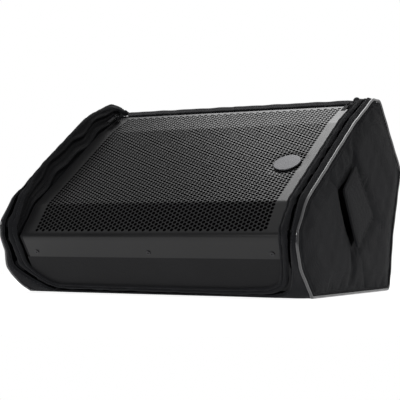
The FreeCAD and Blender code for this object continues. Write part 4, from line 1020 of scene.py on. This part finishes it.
def build_back():
    half = COVER_HALF - SIDE_PAD + 0.006
    low, high = 0.0012, BACK_FOOT_AT + 0.004
    window = rounded_rectangle(-WINDOW_HALF, WINDOW_HALF, WINDOW_FROM, WINDOW_TO, 0.01, 0.003)
    edge = rectangle(-half, half, low, high, 0.005)
    inner = grid_points(-half + 0.004, half - 0.004, low + 0.004, high - 0.004, 0.006)
    gap = np.maximum(np.abs(inner[:, 0]) - WINDOW_HALF,
                     np.maximum(WINDOW_FROM - inner[:, 1], inner[:, 1] - WINDOW_TO))
    piece = panel("cover_back_wall", [edge, window], inner[gap > 0.003], back_place, material=NYLON)
    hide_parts("cover_back")
    ring = back_place(window, 0.5)
    bound = make("window_edge", *tube(ring, 0.0028, 10, closed=True), material=BINDING)
    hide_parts("cover_bindings")
    centre = window.mean(axis=0)
    grown = centre + (window - centre) * (1 + 0.007 / np.abs(window - centre).max(axis=0))
    points = back_place(grown, 1)
    out = normalised(points - back_place(grown, 0))
    row = bricks(points + out * 0.0002, tangents(points, closed=True), out, (0.002, 0.0005, 0.0006))
    stitches = make("window_stitches", *row, material=THREAD)


def build_floor_panel():
    half = COVER_HALF - 0.006
    y0, y1 = COVER_FOOT[0] + 0.008, COVER_BACK_FOOT[0] - 0.006
    edge = rectangle(-half, half, y0, y1, 0.01)
    inner = grid_points(-half + 0.006, half - 0.006, y0 + 0.006, y1 - 0.006, 0.009)

    def place(points, layer):
        quilt = 0.0006 * (1 + ripple(points[:, 0] + points[:, 1], [0.05])
                          * ripple(points[:, 0] - points[:, 1], [0.05]))
        z = np.full(len(points), 0.0042) if layer else 0.0002 + quilt
        return np.stack([points[:, 0], points[:, 1], z], -1)

    piece = panel("cover_base", [edge], inner, place, material=NYLON)
    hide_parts("cover_floor")


def build_lid():
    """Front lid thrown back, folded double: two padded layers, bound all round."""
    start, end = 0.001, BACK_END - 0.002
    edge = rectangle(-LID_HALF + 0.003, LID_HALF - 0.003, start, end, 0.005)
    inner = grid_points(-LID_HALF + 0.008, LID_HALF - 0.008, start + 0.005, end - 0.005, 0.007)

    def lid_sewn(points):
        t = np.array([BACK.where(p[1:]) for p in points])
        near = np.minimum(np.minimum(LID_HALF - 0.003 - np.abs(points[:, 0]), t - start), end - t)
        h = np.einsum("ij,ij->i", points[:, 1:] - BACK.at(t), BACK.out(t))
        return (near < 0.013) | (h < -0.001)

    def layer_place(base, thick, swell_by, phase):
        def place(points, layer):
            x, t = points[:, 0], points[:, 1]
            near = np.minimum(np.minimum(LID_HALF - 0.003 - np.abs(x), t - start), end - t)
            puff = swell_by * smooth(0.0, 0.03, near)
            puff = puff * (1 + 0.35 * ripple(x + 0.4 * t, [0.13, 0.075], phase))
            seam = 0.0012 * np.exp(-((near - 0.011) / 0.0016) ** 2)
            return BACK.place(x, t, base + (thick + puff - seam if layer else 0.0))
        return place

    # Both layers and the bindings take the light grey lining, which also paints the rim light on the
    # lid's edge.
    for name, base, swell_by, phase in (("lid_lower_layer", -LID_DEPTH, 0.0, 0.0),
                                        ("lid_upper_layer", -0.0026, 0.0020, 0.7)):
        piece = panel(name, [edge], inner, layer_place(base, 0.0026, swell_by, phase), body="lid",
                      material=LID_LINING_PAINTED_RIM_LIGHT)
        if swell_by:
            swell(piece, lid_sewn, 0.0025)
        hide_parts("cover_lid")
    path = rounded_rectangle(-LID_HALF + 0.002, LID_HALF - 0.002, start, end, 0.012, 0.004)
    wave = np.arange(len(path)) * 0.004
    rims = []
    for h, radius in ((-0.0038, 0.0021), (-0.0008, 0.0021)):
        ring = BACK.place(path[:, 0], path[:, 1], h + 0.0005 * ripple(wave, [0.071, 0.043]))
        rims.append(tube(ring, radius, 8, closed=True))
    piece = make("lid_bindings", *merge(rims), body="lid", material=LID_LINING_PAINTED_RIM_LIGHT)


build_front()
build_zip()
build_liner()
build_corner_folds()
build_piping()
for side in (-1, 1):
    build_side(side)
    build_flap(side)
build_side_stitches()
build_back()
build_floor_panel()
build_lid()


# ---- stage -----------------------------------------------------------------------------------
def floor_material():
    look = Look("studio_floor", (0.45, 0.45, 0.45), 0.8, specular=0.0)
    look.shade(look.noise(0.6, 2.0), 0.99, 1.01)
    return look.done(Emission_Color=(1.0, 1.0, 1.0, 1.0), Emission_Strength=0.84)


def build_floor():
    turns = np.linspace(0, 2 * math.pi, 64, endpoint=False)
    rim = [(FLOOR_RADIUS * math.cos(a), FLOOR_RADIUS * math.sin(a), -0.0005) for a in turns]
    mesh = bpy.data.meshes.new("studio_floor")
    mesh.from_pydata(rim, [], [tuple(range(len(rim)))])
    mesh.materials.append(floor_material())
    floor = bpy.data.objects.new("studio_floor", mesh)
    bpy.context.scene.collection.objects.link(floor)


def area_light(name, place, target, size, power):
    data = bpy.data.lights.new(name, "AREA")
    data.shape = "RECTANGLE"
    data.size, data.size_y = size
    data.energy = power
    lamp = bpy.data.objects.new(name, data)
    lamp.location = place
    lamp.rotation_mode = "QUATERNION"
    lamp.rotation_quaternion = (Vector(target) - Vector(place)).to_track_quat("-Z", "Y")
    bpy.context.scene.collection.objects.link(lamp)


def build_world():
    """White behind the object; its light comes from high up behind."""
    world = bpy.data.worlds.new("studio")
    world.use_nodes = True
    tree = world.node_tree
    seen = tree.nodes["Background"]
    seen.inputs["Color"].default_value = (1.0, 1.0, 1.0, 1.0)
    way = add_node(tree, "TexCoord", {}, "Generated")
    facing = add_node(tree, "VectorMath", {0: way, 1: Vector(SKY_FROM).normalized()}, "Value",
                      operation="DOT_PRODUCT")
    lit = add_node(tree, "Background", {"Strength": remap(tree, facing, *SKY_EDGE, *SKY_LIGHT)})
    camera_ray = add_node(tree, "LightPath", {}, "Is Camera Ray")
    mixed = add_node(tree, "MixShader", {"Fac": camera_ray, 1: lit, 2: seen.outputs[0]})
    tree.links.new(mixed, tree.nodes["World Output"].inputs["Surface"])
    bpy.context.scene.world = world


def build_camera():
    data = bpy.data.cameras.new("camera")
    data.lens = CAMERA_LENS
    data.sensor_width = 36.0
    camera = bpy.data.objects.new("camera", data)
    bpy.context.scene.collection.objects.link(camera)
    camera.location = CAMERA_PLACE
    yaw, pitch = math.radians(CAMERA_YAW), math.radians(CAMERA_PITCH)
    forward = Vector((-math.sin(yaw) * math.cos(pitch), math.cos(yaw) * math.cos(pitch),
                      math.sin(pitch)))
    camera.rotation_mode = "QUATERNION"
    camera.rotation_quaternion = forward.to_track_quat("-Z", "Y")
    data.clip_start, data.clip_end = 0.05, 60.0
    bpy.context.scene.camera = camera


build_floor()
build_world()
build_camera()
area_light("key", (-0.5, 1.2, 2.1), (0.15, 0.0, 0.27), (1.2, 1.2), 17)
area_light("fill", (2.4, -0.9, 1.3), (0.2, 0.0, 0.15), (1.5, 1.5), 1)
area_light("front", (0.1, -3.0, 0.9), (0.0, 0.0, 0.15), (1.5, 0.8), 46)
bpy.context.scene.view_settings.view_transform = "Standard"
